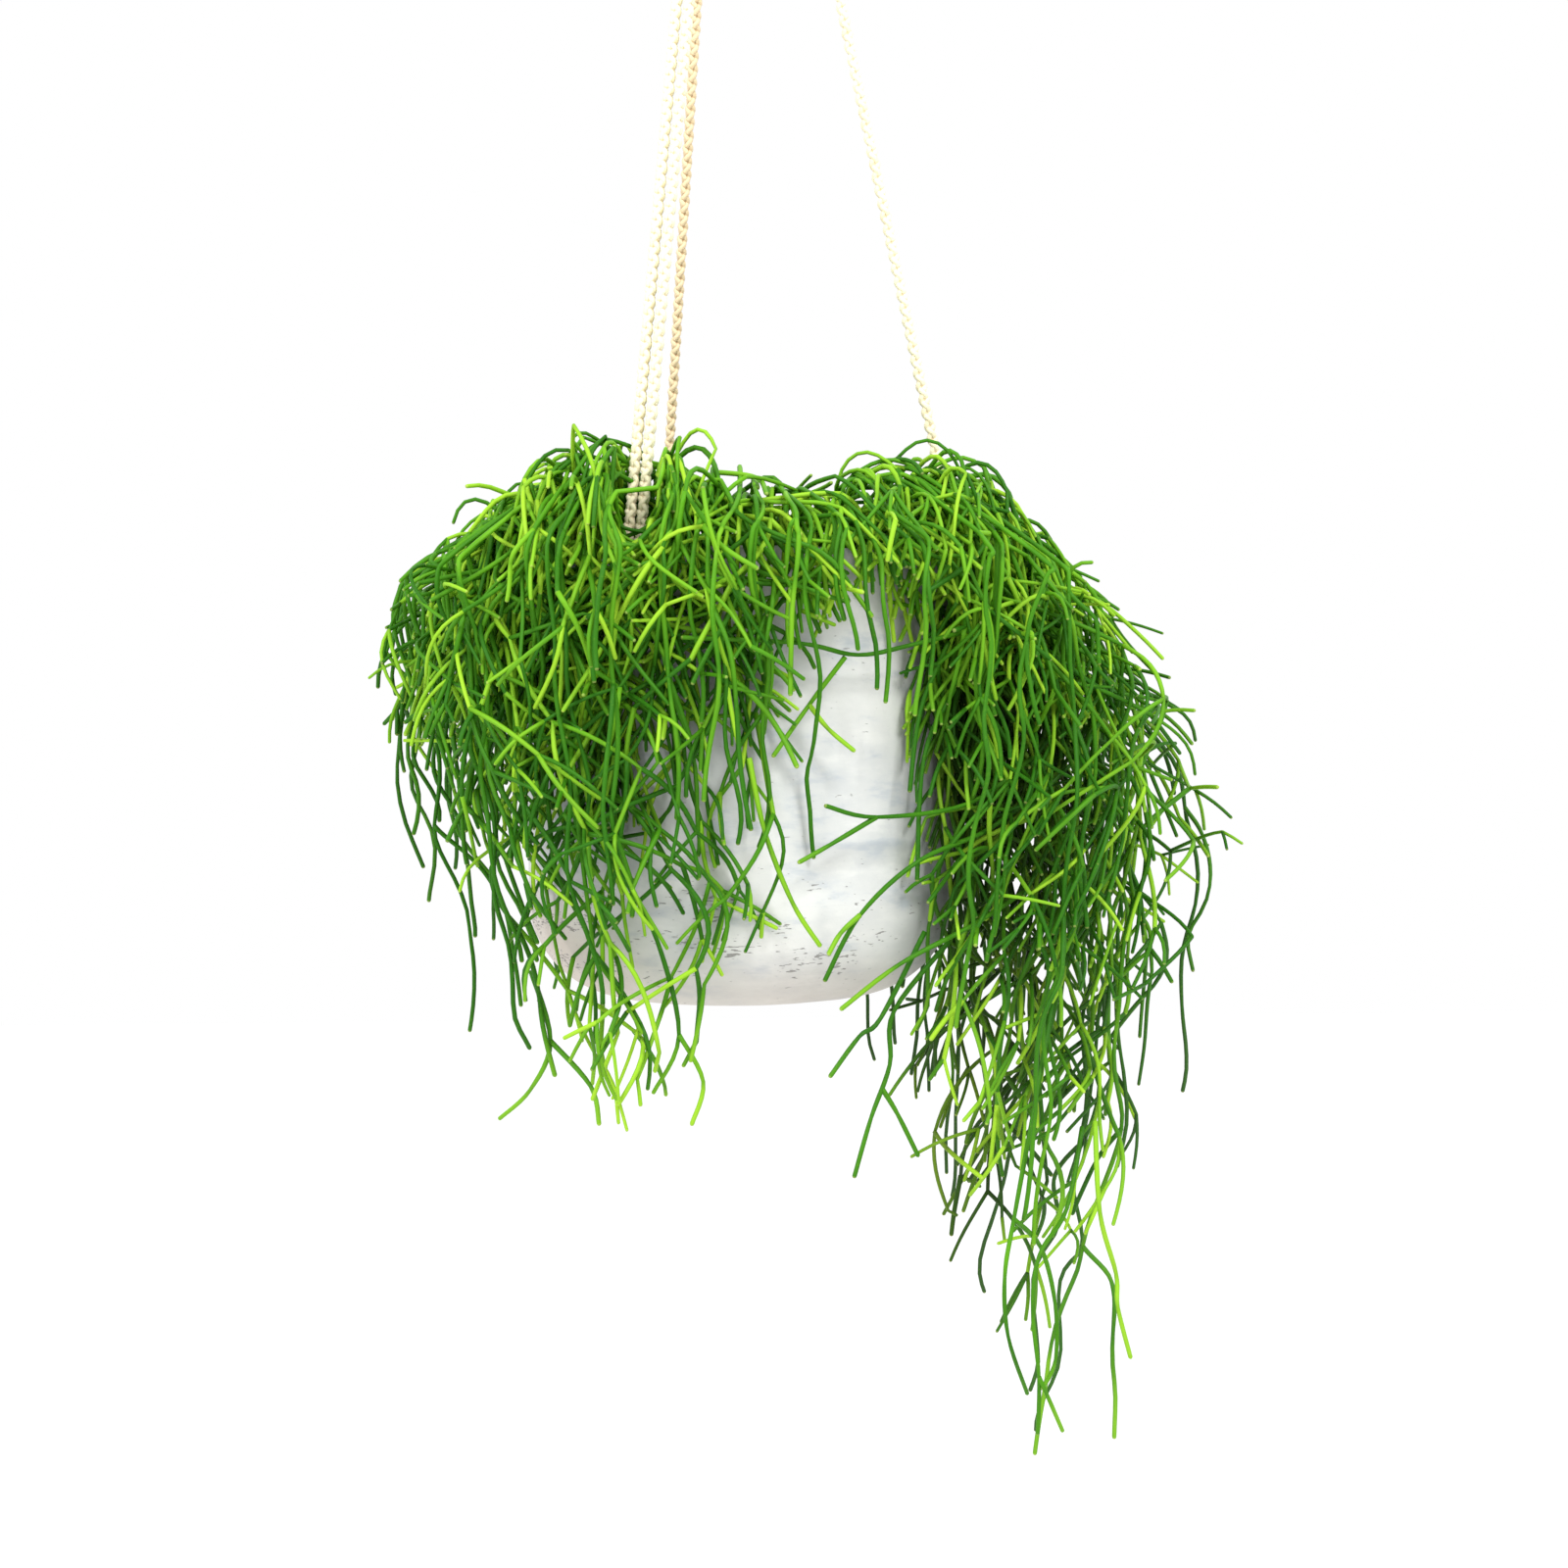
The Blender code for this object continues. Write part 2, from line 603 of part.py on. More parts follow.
def main():
    """Build every piece."""
    clear_scene()
    clay = material("whitewashed_clay", (0.80, 0.79, 0.77), 0.85)
    earth = material("dark_soil", (0.075, 0.05, 0.035), 0.95)
    rope = material("pale_rope", (0.72, 0.63, 0.48), 0.85)
    green = material("green_stem", (0.16, 0.33, 0.06), 0.5)
    build_pot(clay)
    build_ropes(rope)
    build_top_loop(rope)
    roots = []
    for name, seed, azimuth, wedge, crown in spray_places():
        root, top, stems = grow_spray(seed, azimuth, wedge, crown)
        roots.append(root)
        build_spray(name, green, root, top, stems)
    build_soil(earth, roots)


main()
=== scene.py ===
"""The looks of a potted rhipsalis that hangs on braided rope.

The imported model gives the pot, the soil, the rope strands and the sprays of stems their places. Each piece
here stands for one of those nodes, or fills out a spray between its main stems. Metres, +Z up; the origin
is where a hook bears in the rope's top loop, and azimuths run from the viewer's side (-Y) towards +X.
"""

import math
import random
from collections import namedtuple

import bmesh
import bpy
import numpy as np
from mathutils import Matrix, Vector, noise


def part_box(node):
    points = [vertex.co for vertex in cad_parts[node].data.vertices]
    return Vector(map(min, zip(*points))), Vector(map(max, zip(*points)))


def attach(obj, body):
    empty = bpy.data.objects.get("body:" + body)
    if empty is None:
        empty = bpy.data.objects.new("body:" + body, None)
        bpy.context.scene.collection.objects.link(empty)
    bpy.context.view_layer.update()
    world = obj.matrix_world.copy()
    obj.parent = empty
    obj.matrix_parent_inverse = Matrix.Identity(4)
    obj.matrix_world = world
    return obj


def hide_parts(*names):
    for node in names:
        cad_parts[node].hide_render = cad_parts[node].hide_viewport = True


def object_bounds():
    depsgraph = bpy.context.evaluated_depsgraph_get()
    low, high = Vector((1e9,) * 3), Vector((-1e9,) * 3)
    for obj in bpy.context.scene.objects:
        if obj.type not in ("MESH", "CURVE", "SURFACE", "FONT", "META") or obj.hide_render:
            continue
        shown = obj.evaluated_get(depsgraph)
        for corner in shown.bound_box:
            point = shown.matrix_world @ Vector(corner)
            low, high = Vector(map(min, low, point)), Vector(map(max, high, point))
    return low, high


bl_info = {
    "name": "Hanging rhipsalis",
    "version": (1, 0, 0),
    "blender": (4, 5, 0),
    "location": "3D View > Sidebar > Rhipsalis",
    "description": "Builds a trailing rhipsalis in a clay pot that hangs on braided rope",
    "category": "Object",
}

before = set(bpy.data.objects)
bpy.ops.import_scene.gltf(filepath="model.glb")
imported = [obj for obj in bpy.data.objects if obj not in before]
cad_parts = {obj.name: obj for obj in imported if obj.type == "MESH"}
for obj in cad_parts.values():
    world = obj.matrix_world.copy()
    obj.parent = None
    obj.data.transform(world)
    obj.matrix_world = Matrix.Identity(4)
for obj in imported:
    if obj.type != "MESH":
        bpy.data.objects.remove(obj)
CAD_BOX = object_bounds()
BODY = "root"
SAME = 1e-6  # two places closer than this are one
TUBE_BEVEL = 1  # gives a tube six sides

# Pot, from the frame
POT_LOW, POT_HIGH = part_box("pot")
RIM_Z = round(POT_HIGH[2], 4)
POT_RADIUS = round(POT_HIGH[0], 4)
POT_HEIGHT = round(POT_HIGH[2] - POT_LOW[2], 4)
BARREL = 0.0012
BELLY = 0.45
WALL = 0.0082
FLOOR = 0.010
FOOT_ROUND = 0.048
RIM_ROUND = 0.0028
POT_SIDES = 320
UNDER_RINGS, FOOT_RINGS, WALL_RINGS, LIP_RINGS = 14, 52, 60, 8
INSIDE_RINGS, INSIDE_STEP, FOOT_IN_RINGS = 8, 0.015, 10
UNEVEN = ((17, 1.0), (60, 0.35))  # scale and share of the hand-made wall's waves
EDGE = 0.0001  # a point this near the axis or a level is on it
LIP_STILL = 0.0005  # how far out from the inside the lip stays even

# Ropes
ROPE = 0.0052
ROPE_OUT = POT_RADIUS + 0.0037
ROPE_TOP = 0.0052
TOP_GAP = 0.0009
PAIR_HALF = 0.0029
PAIR_SPREAD = 40.0
HOLE_DROP = 0.0155
HOLE_RADIUS = 0.0056
HOLE_SIDES = 32
BEND = 2.0 * ROPE
BEND_LEAD = 0.006
FRONT, RIGHT, BACK, FULL = -24.0, 88.0, 204.5, 360.0
STRANDS = {
    "rope_front_a": (FRONT, -PAIR_HALF),
    "rope_front_b": (FRONT, PAIR_HALF),
    "rope_right": (RIGHT, 0.0),
    "rope_back": (BACK, 0.0),
}
HOLES = {"knot_front": (FRONT, PAIR_HALF), "knot_right": (RIGHT, 0.0), "knot_back": (BACK, 0.0)}
STRAIGHT_POINTS = 9
BEND_POINTS = 7
STRAND_SHORT = 0.0005  # how far from the pot's inside a strand starts
KNOT_GAP = 0.0009
KNOT_RADIUS = 0.0072
KNOT_RING = 0.071  # how far from the axis the knots reach
KNOT_POINTS = 72
KNOT_COIL = (0.0030, 0.0013, 0.0016)  # mean radius of its winding, how much it changes, and its depth
KNOT_WIDTH = 0.0045

# Braid
YARNS = 2  # in each direction
BRAID_PITCH = 0.0126
BRAID_PHASE = 0.4  # from one strand to the next
YARN_RADIUS = 0.00128
YARN_WEAVE = 0.00038
YARN_GAP = 0.0009

# Collar and loop
COLLAR_RADIUS = 0.0096
COLLAR_TOP = -0.030
COLLAR_BOTTOM = -0.054
WRAP_RADIUS = 0.0015
WRAP_TURNS = 8
WRAP_POINTS = 30
CORE_ROUND = 0.001
EYE_HALF = 0.0105
LOOP_SINK = 0.004
LOOP_FEET = (0.0040, 0.0052)
LOOP_TURNS = (-20, 200)
LOOP_POINTS = 14
LOOP_PARTS = 6

# Soil
SOIL_DROP = 0.028
SOIL_BUMP = 0.0016
SOIL_GAP = 0.0003
SOIL_SIDES, SOIL_RINGS, SOIL_FOOT_RINGS = 150, 48, 12
SOIL_GRAIN = ((260, 0.0016), (90, 0.0012))  # scale and height of its crumbs
ROOT_DEPTH = 0.012

# Main stems, as in the frame
STEM_RADIUS = 0.0013
STEMS = 3
ARCH_STEP = 0.021
TRAIL_STEP = 0.048
STEM_START = 0.004
ROOT_TOP = 0.008
CREST = (0.008, 0.034)
CROWN_CREST = (0.010, 0.034)
OVER_RIM = 0.006
UNDER_RIM = 0.06
PAST_WALL = 0.004
TUCK = 0.5
RISE = 0.022
CLIMB = 1.8
DIP = -0.25
EASE_OUT = 0.05
SPREAD = 0.9
CLOSE_IN = 0.30
BEND_UP = 0.55
BEND_OVER = 0.45
BEND_DOWN = 0.60
MAIN_KINK = 0.30
FORK_KINK = 1.0
HEADING_TRIES = 5
SHOOT_CHANCE = (0.22, 0.10)
SHOOT_JOINTS = 3
JOINTS = 5
CROWN_JOINTS = 2
ROOT_LEAN = 0.6
ROOT_RING = 0.052
CROWN_SEED = 210
CROWN_RING = 0.020
CROWN_LIMIT = 0.037
SPRAY_LIMIT = 0.30
ROPE_FADE = (0.075, 0.030)
CLEAR = 0.0005
SECTORS = [(FRONT, RIGHT, 7), (RIGHT, BACK, 6), (BACK, FRONT + FULL, 8)]
CROWN_SECTORS = [(-30.0, 90.0), (90.0, 210.0), (210.0, 330.0)]

# Main stems by azimuth: the longest trail below the rim and the reach from the axis
HABIT = [
    (-165, 0.175, 0.160),
    (-125, 0.180, 0.162),
    (-90, 0.170, 0.166),
    (-62, 0.190, 0.160),
    (-38, 0.235, 0.144),
    (-14, 0.175, 0.132),
    (8, 0.125, 0.124),
    (30, 0.080, 0.128),
    (52, 0.225, 0.158),
    (74, 0.380, 0.196),
    (98, 0.405, 0.222),
    (124, 0.340, 0.202),
    (150, 0.250, 0.178),
    (172, 0.185, 0.164),
]

# Fine stems by azimuth: trail below the rim, reach from the axis, drop where they reach furthest, how many
FILL_HABIT = [
    (-165, 0.155, 0.156, 0.06, 0.8),
    (-120, 0.140, 0.158, 0.05, 0.9),
    (-90, 0.128, 0.158, 0.05, 1.0),
    (-65, 0.128, 0.157, 0.05, 1.2),
    (-45, 0.212, 0.156, 0.05, 1.6),
    (-28, 0.255, 0.150, 0.05, 2.1),
    (-14, 0.225, 0.140, 0.05, 1.5),
    (0, 0.178, 0.132, 0.04, 1.0),
    (8, 0.175, 0.130, 0.04, 1.5),
    (13, 0.110, 0.126, 0.04, 1.0),
    (18, 0.040, 0.122, 0.03, 0.6),
    (27, 0.012, 0.114, 0.03, 0.3),
    (37, 0.014, 0.116, 0.03, 0.4),
    (44, 0.060, 0.130, 0.05, 0.9),
    (51, 0.305, 0.150, 0.07, 2.0),
    (62, 0.325, 0.166, 0.09, 2.2),
    (76, 0.340, 0.196, 0.09, 2.0),
    (95, 0.340, 0.219, 0.10, 1.7),
    (118, 0.260, 0.208, 0.12, 1.1),
    (145, 0.205, 0.170, 0.09, 0.8),
    (172, 0.165, 0.160, 0.06, 0.7),
]
CROWN_SHARE = 2.2  # how many in the crown
FILL_SEED = 2000

# The mass that the fine stems fill
OPEN_ABOVE = 0.05  # how far above the rim it starts to open out
OPEN_SHARE = 0.60  # how wide it is there
OPEN_POWER = 0.6
CLOSE_FROM = 0.36  # the share of its trail from which it narrows
NARROW = 0.20
FILL_TOP = 0.031  # the dome's height above the rim
DOME_FLAT = 0.08  # how far from the axis it stays level
DOME_FALL = 0.52
DOME_PULL = 0.8  # how far a main stem above it is drawn down
# Mounds where stems lean on a rope: x, y and height
LIFTS = [(-0.050, -0.085, 0.023), (0.080, -0.035, 0.022), (-0.030, 0.060, 0.012)]
LIFT_WIDTH = 0.044
SHADE_FROM = (0.026, 0.004)  # stems are shaded this far in, and this far below the rim
SHADE_OVER = (0.034, 0.030)
PAST_BOX = 0.03  # how far past the frame's box stems may reach, as a share of its side
ROOM = 0.008
LIMIT_LOW = [low - PAST_BOX * (high - low) - ROOM for low, high in zip(*CAD_BOX)]
LIMIT_HIGH = [high + PAST_BOX * (high - low) + ROOM for low, high in zip(*CAD_BOX)]

# The room round the ropes, and the parting in front of the front ones
ROPE_ROOM = 0.0055
ROPES_FROM = 0.03
VIEW_HALF = 0.0060
VIEW_WIDEN = 0.05
VIEW_START = 0.3
VIEW_FADE = 0.05
VIEW_TOP = 0.30
VIEW_PUSH = 0.4

# A fine stem's nature, with values drawn at random between two others or about nothing
FILL_RING = (0.006, 0.045, 0.8)  # where it starts in the crown, and past the crown
FILL_ROOT = 0.003
FILL_TILT = (0.7, 0.9)  # how far it starts out tilted, outward and aside
FILL_CREST = (0.000, 0.026)  # how high above the rim it climbs
CROWN_FILL_JOINTS = (3, 4)
FILL_JOINTS = 3
FILL_RISE = 0.06
RUN_PER_JOINT = 0.030
EXTENT = (1.10, 0.82, 0.65)  # its longest trail as a share, what it may lose, and how seldom
EXTENT_BIAS = 3.0
SHORT_TRAIL = 0.25
SHARE = (0.52, 0.36, 0.16)  # how far out in the mass it hangs
SPARE = (0.86, 1.06)  # how far out it may go
LIMP = (0.55, 1.30)
LOOSE = 0.007
OWN_HOME = 5
OWN_SHARE = (0.92, 1.08)
OWN_EXTENT = (0.92, 1.04)

# A fine stem's segments, joints and forks; a row has a value for each fork before the stem
LAST_ORDER = 3
FEWEST_POINTS = 3
SEGMENTS = ((0.030, 0.052), (0.028, 0.048), (0.026, 0.046), (0.022, 0.040))
FILL_STEP = 0.0055
CURL = 0.055
CURL_STAY = 0.75
KINK = (0.20, 0.60)
RESET = 0.45  # how far it turns back to its way at a joint
FORK = (0.60, 1.35)
FORK_CHANCE = (0.85, 0.55, 0.20)
LOW_FORKS = (0.14, 0.10, 0.08)  # more forks lower down: how many, from which drop and over how much
FAN = (0.35, 1.00)
FAN_SIZES = (1, 2, 2, 2, 3)
FAN_CHANCE = 0.25  # where it had to stop
FAN_TURN = 0.3
ACROSS = 0.6
JUMP = 1.8  # it ends where it would be pushed this many steps

# A fine stem's way: how it leans and how fast it turns
LEAN = (0.42, 0.30)
HOMING = 36.0
HOMING_MOST = 0.9
NEAR_WALL = 0.006
INSIDE_DROP = 0.040
LEAST_REACH = 0.110
LEAST_OUT = 0.124
SETTLE = 0.030
SETTLE_RANGE = (-1.0, 0.9)
HANG_RATE = (0.085, 0.080, 0.085, 0.100)
BACK_RATE = 0.3
FREE_DROP = 0.07  # near the rim it leans more and turns more slowly
FREE_LEAN = 1.6
FREE_RATE = 0.35
LOW_DROP = 0.20  # and low down it leans aside more and turns faster
LOW_LEAN = 0.5
LOW_RATE = 0.10
STIFF = 0.78
STIFFER = 0.65
STIFF_SPARE = 1.04
TIPS_OUT = 0.012
SPARE_LOW = 0.12
SPARE_FROM = 0.35
CLIMB_OVER = 0.022
CLIMB_RANGE = (-1.0, 1.4)
ARCH_RATE = 0.27
ARCH_HOME = 0.3
CROSSING = 3.0
DUCK = 0.6  # how hard it turns down above the dome
DUCK_OVER = 0.006

# A stem's tube and tints
FILL_RADIUS = 0.00110
THICKNESS = (0.82, 1.10)
THINNER = (1.05, 1.0, 0.92, 0.84)
WAIST = (0.16, 1.6)  # how much slimmer it is at a joint, and over how many points
TAPER = (1.06, 0.14)
TIP_RINGS = [(0.55, 0.80), (0.85, 0.42)]  # how far past its end, and how thick, in radii
TIP_AGE = 1.3
TINT = (0.47, 0.36)
TINT_CHANGE = 0.16
AGE = (0.15, 0.2)

# Main stems' waves and tints
MAIN_SEED = 1000
MAIN_TINT = (0.1, 0.5)
MAIN_AGE, SHOOT_AGE = 0.1, 0.5
MAIN_PARTS = 7
WAVE = 0.0090
WAVE_SCALE = 24.0
WAVE_APART = 71.3
WAVE_PLACE = 7.3
WAVE_START = 0.06
SINK_IN = 0.011  # how far they stand in behind the fine stems
SINK_OVER = 0.05
NEAR_AXIS = 0.02

# Loose stems in front of the pot: azimuth, drop below the rim and distance from the axis, and the stem's age
STRAY_SPRAY = "spray_05"
STRAY_SEED = 3000
STRAY_PARTS = 6
STRAYS = [
    ([(70, 0.090, 0.140), (54, 0.110, 0.124), (30, 0.115, 0.118), (18, 0.110, 0.122)], 0.4),
    ([(30, 0.115, 0.118), (20, 0.126, 0.116), (13, 0.133, 0.118)], 0.6),
    (
        [(78, 0.100, 0.145), (60, 0.121, 0.128), (40, 0.134, 0.120), (27, 0.156, 0.114), (20, 0.183, 0.108)],
        0.4,
    ),
    ([(27, 0.156, 0.114), (22, 0.163, 0.116), (19, 0.171, 0.118)], 0.7),
    (
        [(62, 0.030, 0.135), (40, 0.042, 0.118), (27, 0.047, 0.114), (13, 0.043, 0.120), (-9, 0.041, 0.128)],
        0.3,
    ),
    ([(24, 0.048, 0.114), (16, 0.068, 0.113), (8, 0.089, 0.117)], 0.5),
    ([(16, 0.068, 0.113), (20, 0.078, 0.114), (25, 0.087, 0.117)], 0.8),
    ([(72, 0.150, 0.135), (54, 0.163, 0.125), (38, 0.178, 0.112), (25, 0.196, 0.104)], 0.5),
    ([(3, 0.090, 0.120), (6, 0.120, 0.117), (12, 0.150, 0.113), (18, 0.168, 0.112)], 0.9),
    ([(50, 0.040, 0.120), (44, 0.070, 0.114), (41, 0.104, 0.113)], 0.1),
    ([(52, 0.060, 0.120), (45, 0.090, 0.114), (42, 0.142, 0.115)], 0.1),
    (
        [(-30, 0.120, 0.125), (-22, 0.140, 0.122), (-16, 0.165, 0.118)]
        + [(-13, 0.205, 0.108), (-20, 0.230, 0.104)],
        0.2,
    ),
    ([(-13, 0.205, 0.108), (-8, 0.225, 0.104), (-11, 0.243, 0.102)], 0.5),
    ([(-48, 0.180, 0.120), (-44, 0.210, 0.116), (-50, 0.232, 0.118), (-58, 0.246, 0.124)], 0.3),
    ([(-44, 0.210, 0.116), (-34, 0.228, 0.112), (-31, 0.243, 0.114)], 0.4),
    (
        [(52, 0.170, 0.116), (40, 0.199, 0.104), (39, 0.222, 0.103), (34, 0.244, 0.101), (29, 0.268, 0.101)],
        0.0,
    ),
    ([(37, 0.232, 0.102), (42, 0.244, 0.102), (48, 0.263, 0.104)], 0.1),
    ([(46, 0.165, 0.112), (35, 0.201, 0.106), (29, 0.208, 0.106), (22, 0.224, 0.104)], 0.0),
    (
        [(70, 0.200, 0.148), (62, 0.240, 0.146), (56, 0.289, 0.142)]
        + [(54, 0.313, 0.140), (55, 0.339, 0.140), (63, 0.369, 0.140)],
        0.0,
    ),
    (
        [(56, 0.289, 0.142), (64, 0.305, 0.146), (67, 0.331, 0.150), (67, 0.356, 0.150), (62, 0.365, 0.148)],
        0.0,
    ),
    (
        [(72, 0.255, 0.160), (64, 0.287, 0.158), (56, 0.303, 0.154)]
        + [(55, 0.326, 0.152), (57, 0.356, 0.152), (58, 0.381, 0.150)],
        0.0,
    ),
    ([(57, 0.356, 0.152), (58, 0.363, 0.154), (63, 0.383, 0.156)], 0.1),
    (
        [(68, 0.250, 0.168), (65, 0.288, 0.172), (69, 0.317, 0.176), (67, 0.330, 0.178), (69, 0.353, 0.182)],
        0.6,
    ),
]

# Stage: place, width and share of the power of each lamp
LAMPS = {
    "key": ((0.65, -1.15, RIM_Z + 0.95), 0.5, 1.0),
    "fill": ((-1.0, -1.1, RIM_Z + 0.55), 0.6, 0.7),
}
LAMP_AIM = (0, 0, RIM_Z - 0.08)
FLOOR_SIZE = 6.0
FLOOR_GLOW = 0.25
EYE = Vector((0.0204, -0.90, RIM_Z - 0.1008))


def polar(azimuth, radius, z):
    """A point by its azimuth in degrees, distance from the axis and height."""
    turn = math.radians(azimuth)
    return Vector((radius * math.sin(turn), -radius * math.cos(turn), z))


def azimuth_of(place):
    """A place's azimuth in degrees."""
    return math.degrees(math.atan2(place.x, -place.y))


def from_axis(place):
    """A place's distance from the pot's axis."""
    return math.hypot(place.x, place.y)


def level_ways(place):
    """The level directions that lead away from the axis and round it at a place."""
    outward = Vector((place.x, place.y, 0)).normalized()
    return outward, Vector((-outward.y, outward.x, 0))


def held(value, low=0.0, high=1.0):
    """A value kept between two others."""
    return min(high, max(low, value))


def outer_radius(z):
    """The pot's outer radius at a height, above its rounded foot."""
    return POT_RADIUS - BARREL * ((z - RIM_Z) / (BELLY * POT_HEIGHT) + 1) ** 2


def eased(rows, azimuth):
    """The values that a table of azimuths gives, eased from each row to the next."""
    ring = rows + [(rows[0][0] + FULL, *rows[0][1:])]
    turn = (azimuth - ring[0][0]) % FULL + ring[0][0]
    for low, high in zip(ring, ring[1:]):
        if low[0] <= turn <= high[0]:
            part = (turn - low[0]) / (high[0] - low[0])
            ease = part * part * (3 - 2 * part)
            return tuple(a + (b - a) * ease for a, b in zip(low[1:], high[1:]))
    return rows[0][1:]


# Materials


class Wire:
    """A number on a node's socket; arithmetic on it adds Math nodes."""

    def __init__(self, finish, socket):
        self.finish = finish
        self.socket = socket

    def math(self, operation, first, second):
        """One Math node."""
        return self.finish.add("ShaderNodeMath", {"operation": operation}, {0: first, 1: second})

    def __add__(self, other):
        return self.math("ADD", self, other)

    def __radd__(self, other):
        return self.math("ADD", other, self)

    def __sub__(self, other):
        return self.math("SUBTRACT", self, other)

    def __rsub__(self, other):
        return self.math("SUBTRACT", other, self)

    def __mul__(self, other):
        return self.math("MULTIPLY", self, other)

    def __rmul__(self, other):
        return self.math("MULTIPLY", other, self)

    def between(self, low, high):
        """Smoothly 0 at low and 1 at high."""
        inputs = {"Value": self, "From Min": low, "From Max": high}
        return self.finish.add("ShaderNodeMapRange", {"interpolation_type": "SMOOTHSTEP"}, inputs)


class Finish:
    """A material on a Principled shader, wired by short calls."""

    def __init__(self, name, **values):
        self.material = bpy.data.materials.new(name)
        self.material.use_nodes = True
        self.tree = self.material.node_tree
        self.shader = self.tree.nodes["Principled BSDF"]
        for key, value in values.items():
            self.shader.inputs[key.replace("_", " ")].default_value = value

    def put(self, socket, value):
        """Link a wire to a socket, or set the socket's value."""
        if isinstance(value, Wire):
            self.tree.links.new(value.socket, socket)
        elif hasattr(value, "__len__") and len(value) == 3 and len(socket.default_value) == 4:
            socket.default_value = (*value, 1.0)
        else:
            socket.default_value = value

    def add(self, kind, settings=None, inputs=None, out=0):
        """Add a node: its settings first, then its sockets; return one output."""
        node = self.tree.nodes.new(kind)
        for key, value in (settings or {}).items():
            setattr(node, key, value)
        for key, value in (inputs or {}).items():
            self.put(node.inputs[key], value)
        return Wire(self, node.outputs[out])

    def place(self, stretch=(1, 1, 1), turn=(0, 0, 0)):
        """Object coordinates, stretched and turned."""
        spot = self.add("ShaderNodeTexCoord", out="Object")
        return self.add("ShaderNodeMapping", None, {"Vector": spot, "Rotation": turn, "Scale": stretch})

    def along(self, place, axis):
        """One coordinate of a place."""
        return self.add("ShaderNodeSeparateXYZ", None, {"Vector": place}, out=axis)

    def noise(self, place, scale, detail, roughness=0.5):
        """A cloud pattern between 0 and 1."""
        inputs = {"Vector": place, "Scale": scale, "Detail": detail, "Roughness": roughness}
        return self.add("ShaderNodeTexNoise", None, inputs)

    def attribute(self, name):
        """A number stored on the mesh."""
        return self.add("ShaderNodeAttribute", {"attribute_name": name}, out="Fac")

    def mix(self, factor, first, second):
        """Mix two colours."""
        return self.add("ShaderNodeMix", {"data_type": "RGBA"}, {0: factor, 6: first, 7: second}, out=2)

    def wear(self, colour, roughness, height, depth, strength):
        """Link the shader's colour, roughness and bump."""
        inputs = {"Height": height, "Distance": depth, "Strength": strength}
        self.put(self.shader.inputs["Base Color"], colour)
        self.put(self.shader.inputs["Roughness"], roughness)
        self.put(self.shader.inputs["Normal"], self.add("ShaderNodeBump", None, inputs))
        return self.material


# Making pieces


def show(name, mesh, finish, node):
    """Put a finished mesh in the scene, riding on the body and standing for its node."""
    piece = bpy.data.objects.new(name, mesh)
    bpy.context.scene.collection.objects.link(piece)
    mesh.materials.clear()
    mesh.materials.append(finish)
    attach(piece, BODY)
    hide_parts(node)
    return piece


def settled(bm, name):
    """Turn a bmesh into smooth mesh data with its faces pointing out."""
    bmesh.ops.recalc_face_normals(bm, faces=bm.faces)
    mesh = bpy.data.meshes.new(name)
    bm.to_mesh(mesh)
    bm.free()
    mesh.shade_smooth()
    return mesh


def turned(profile, sides):
    """Spin a profile of (radius, z) points about Z into a bmesh."""
    bm = bmesh.new()
    points = [bm.verts.new((radius, 0.0, z)) for radius, z in profile]
    edges = [bm.edges.new(pair) for pair in zip(points, points[1:])]
    whole = 2 * math.pi
    axis = {"cent": (0, 0, 0), "axis": (0, 0, 1)}
    bmesh.ops.spin(bm, geom=points + edges, **axis, angle=whole, steps=sides, use_merge=True)
    bmesh.ops.remove_doubles(bm, verts=bm.verts, dist=SAME)
    return bm


def arc(centre_r, centre_z, radius, start, end, steps):
    """Points along an arc in the profile plane, by angles in degrees from the radial direction."""
    turns = [math.radians(start + (end - start) * k / steps) for k in range(steps + 1)]
    return [(centre_r + radius * math.cos(t), centre_z + radius * math.sin(t)) for t in turns]


def tubes(name, chains):
    """One mesh of round tubes; a chain is its points, their radii, and a row of values for each attribute."""
    curve = bpy.data.curves.new(name, "CURVE")
    curve.dimensions = "3D"
    curve.bevel_depth = 1.0
    curve.bevel_resolution = TUBE_BEVEL
    for chain in chains:
        spline = curve.splines.new("POLY")
        spline.points.add(len(chain["points"]) - 1)
        spots = np.ones((len(chain["points"]), 4), np.float32)
        spots[:, :3] = chain["points"]
        spline.points.foreach_set("co", spots.ravel())
        spline.points.foreach_set("radius", np.array(chain["radii"], np.float32))
        spline.use_smooth = True
    holder = bpy.data.objects.new(name, curve)
    bpy.context.scene.collection.objects.link(holder)
    graph = bpy.context.evaluated_depsgraph_get()
    mesh = bpy.data.meshes.new_from_object(holder.evaluated_get(graph))
    bpy.data.objects.remove(holder, do_unlink=True)
    sides = 4 + 2 * TUBE_BEVEL
    if len(mesh.vertices) != sides * sum(len(chain["points"]) for chain in chains):
        raise RuntimeError(f"{name}: the tubes have {len(mesh.vertices)} vertices, not a ring for each point")
    for key in chains[0]["values"]:
        rows = [np.repeat(np.array(chain["values"][key], np.float32), sides) for chain in chains]
        mesh.attributes.new(key, "FLOAT", "POINT").data.foreach_set("value", np.concatenate(rows))
    bm = bmesh.new()
    bm.from_mesh(mesh)
    bmesh.ops.holes_fill(bm, edges=[edge for edge in bm.edges if edge.is_boundary], sides=sides)
    bm.to_mesh(mesh)
    bm.free()
    mesh.name = name
    mesh.shade_smooth()
    return mesh


# Plant: the main stems grow as in the frame


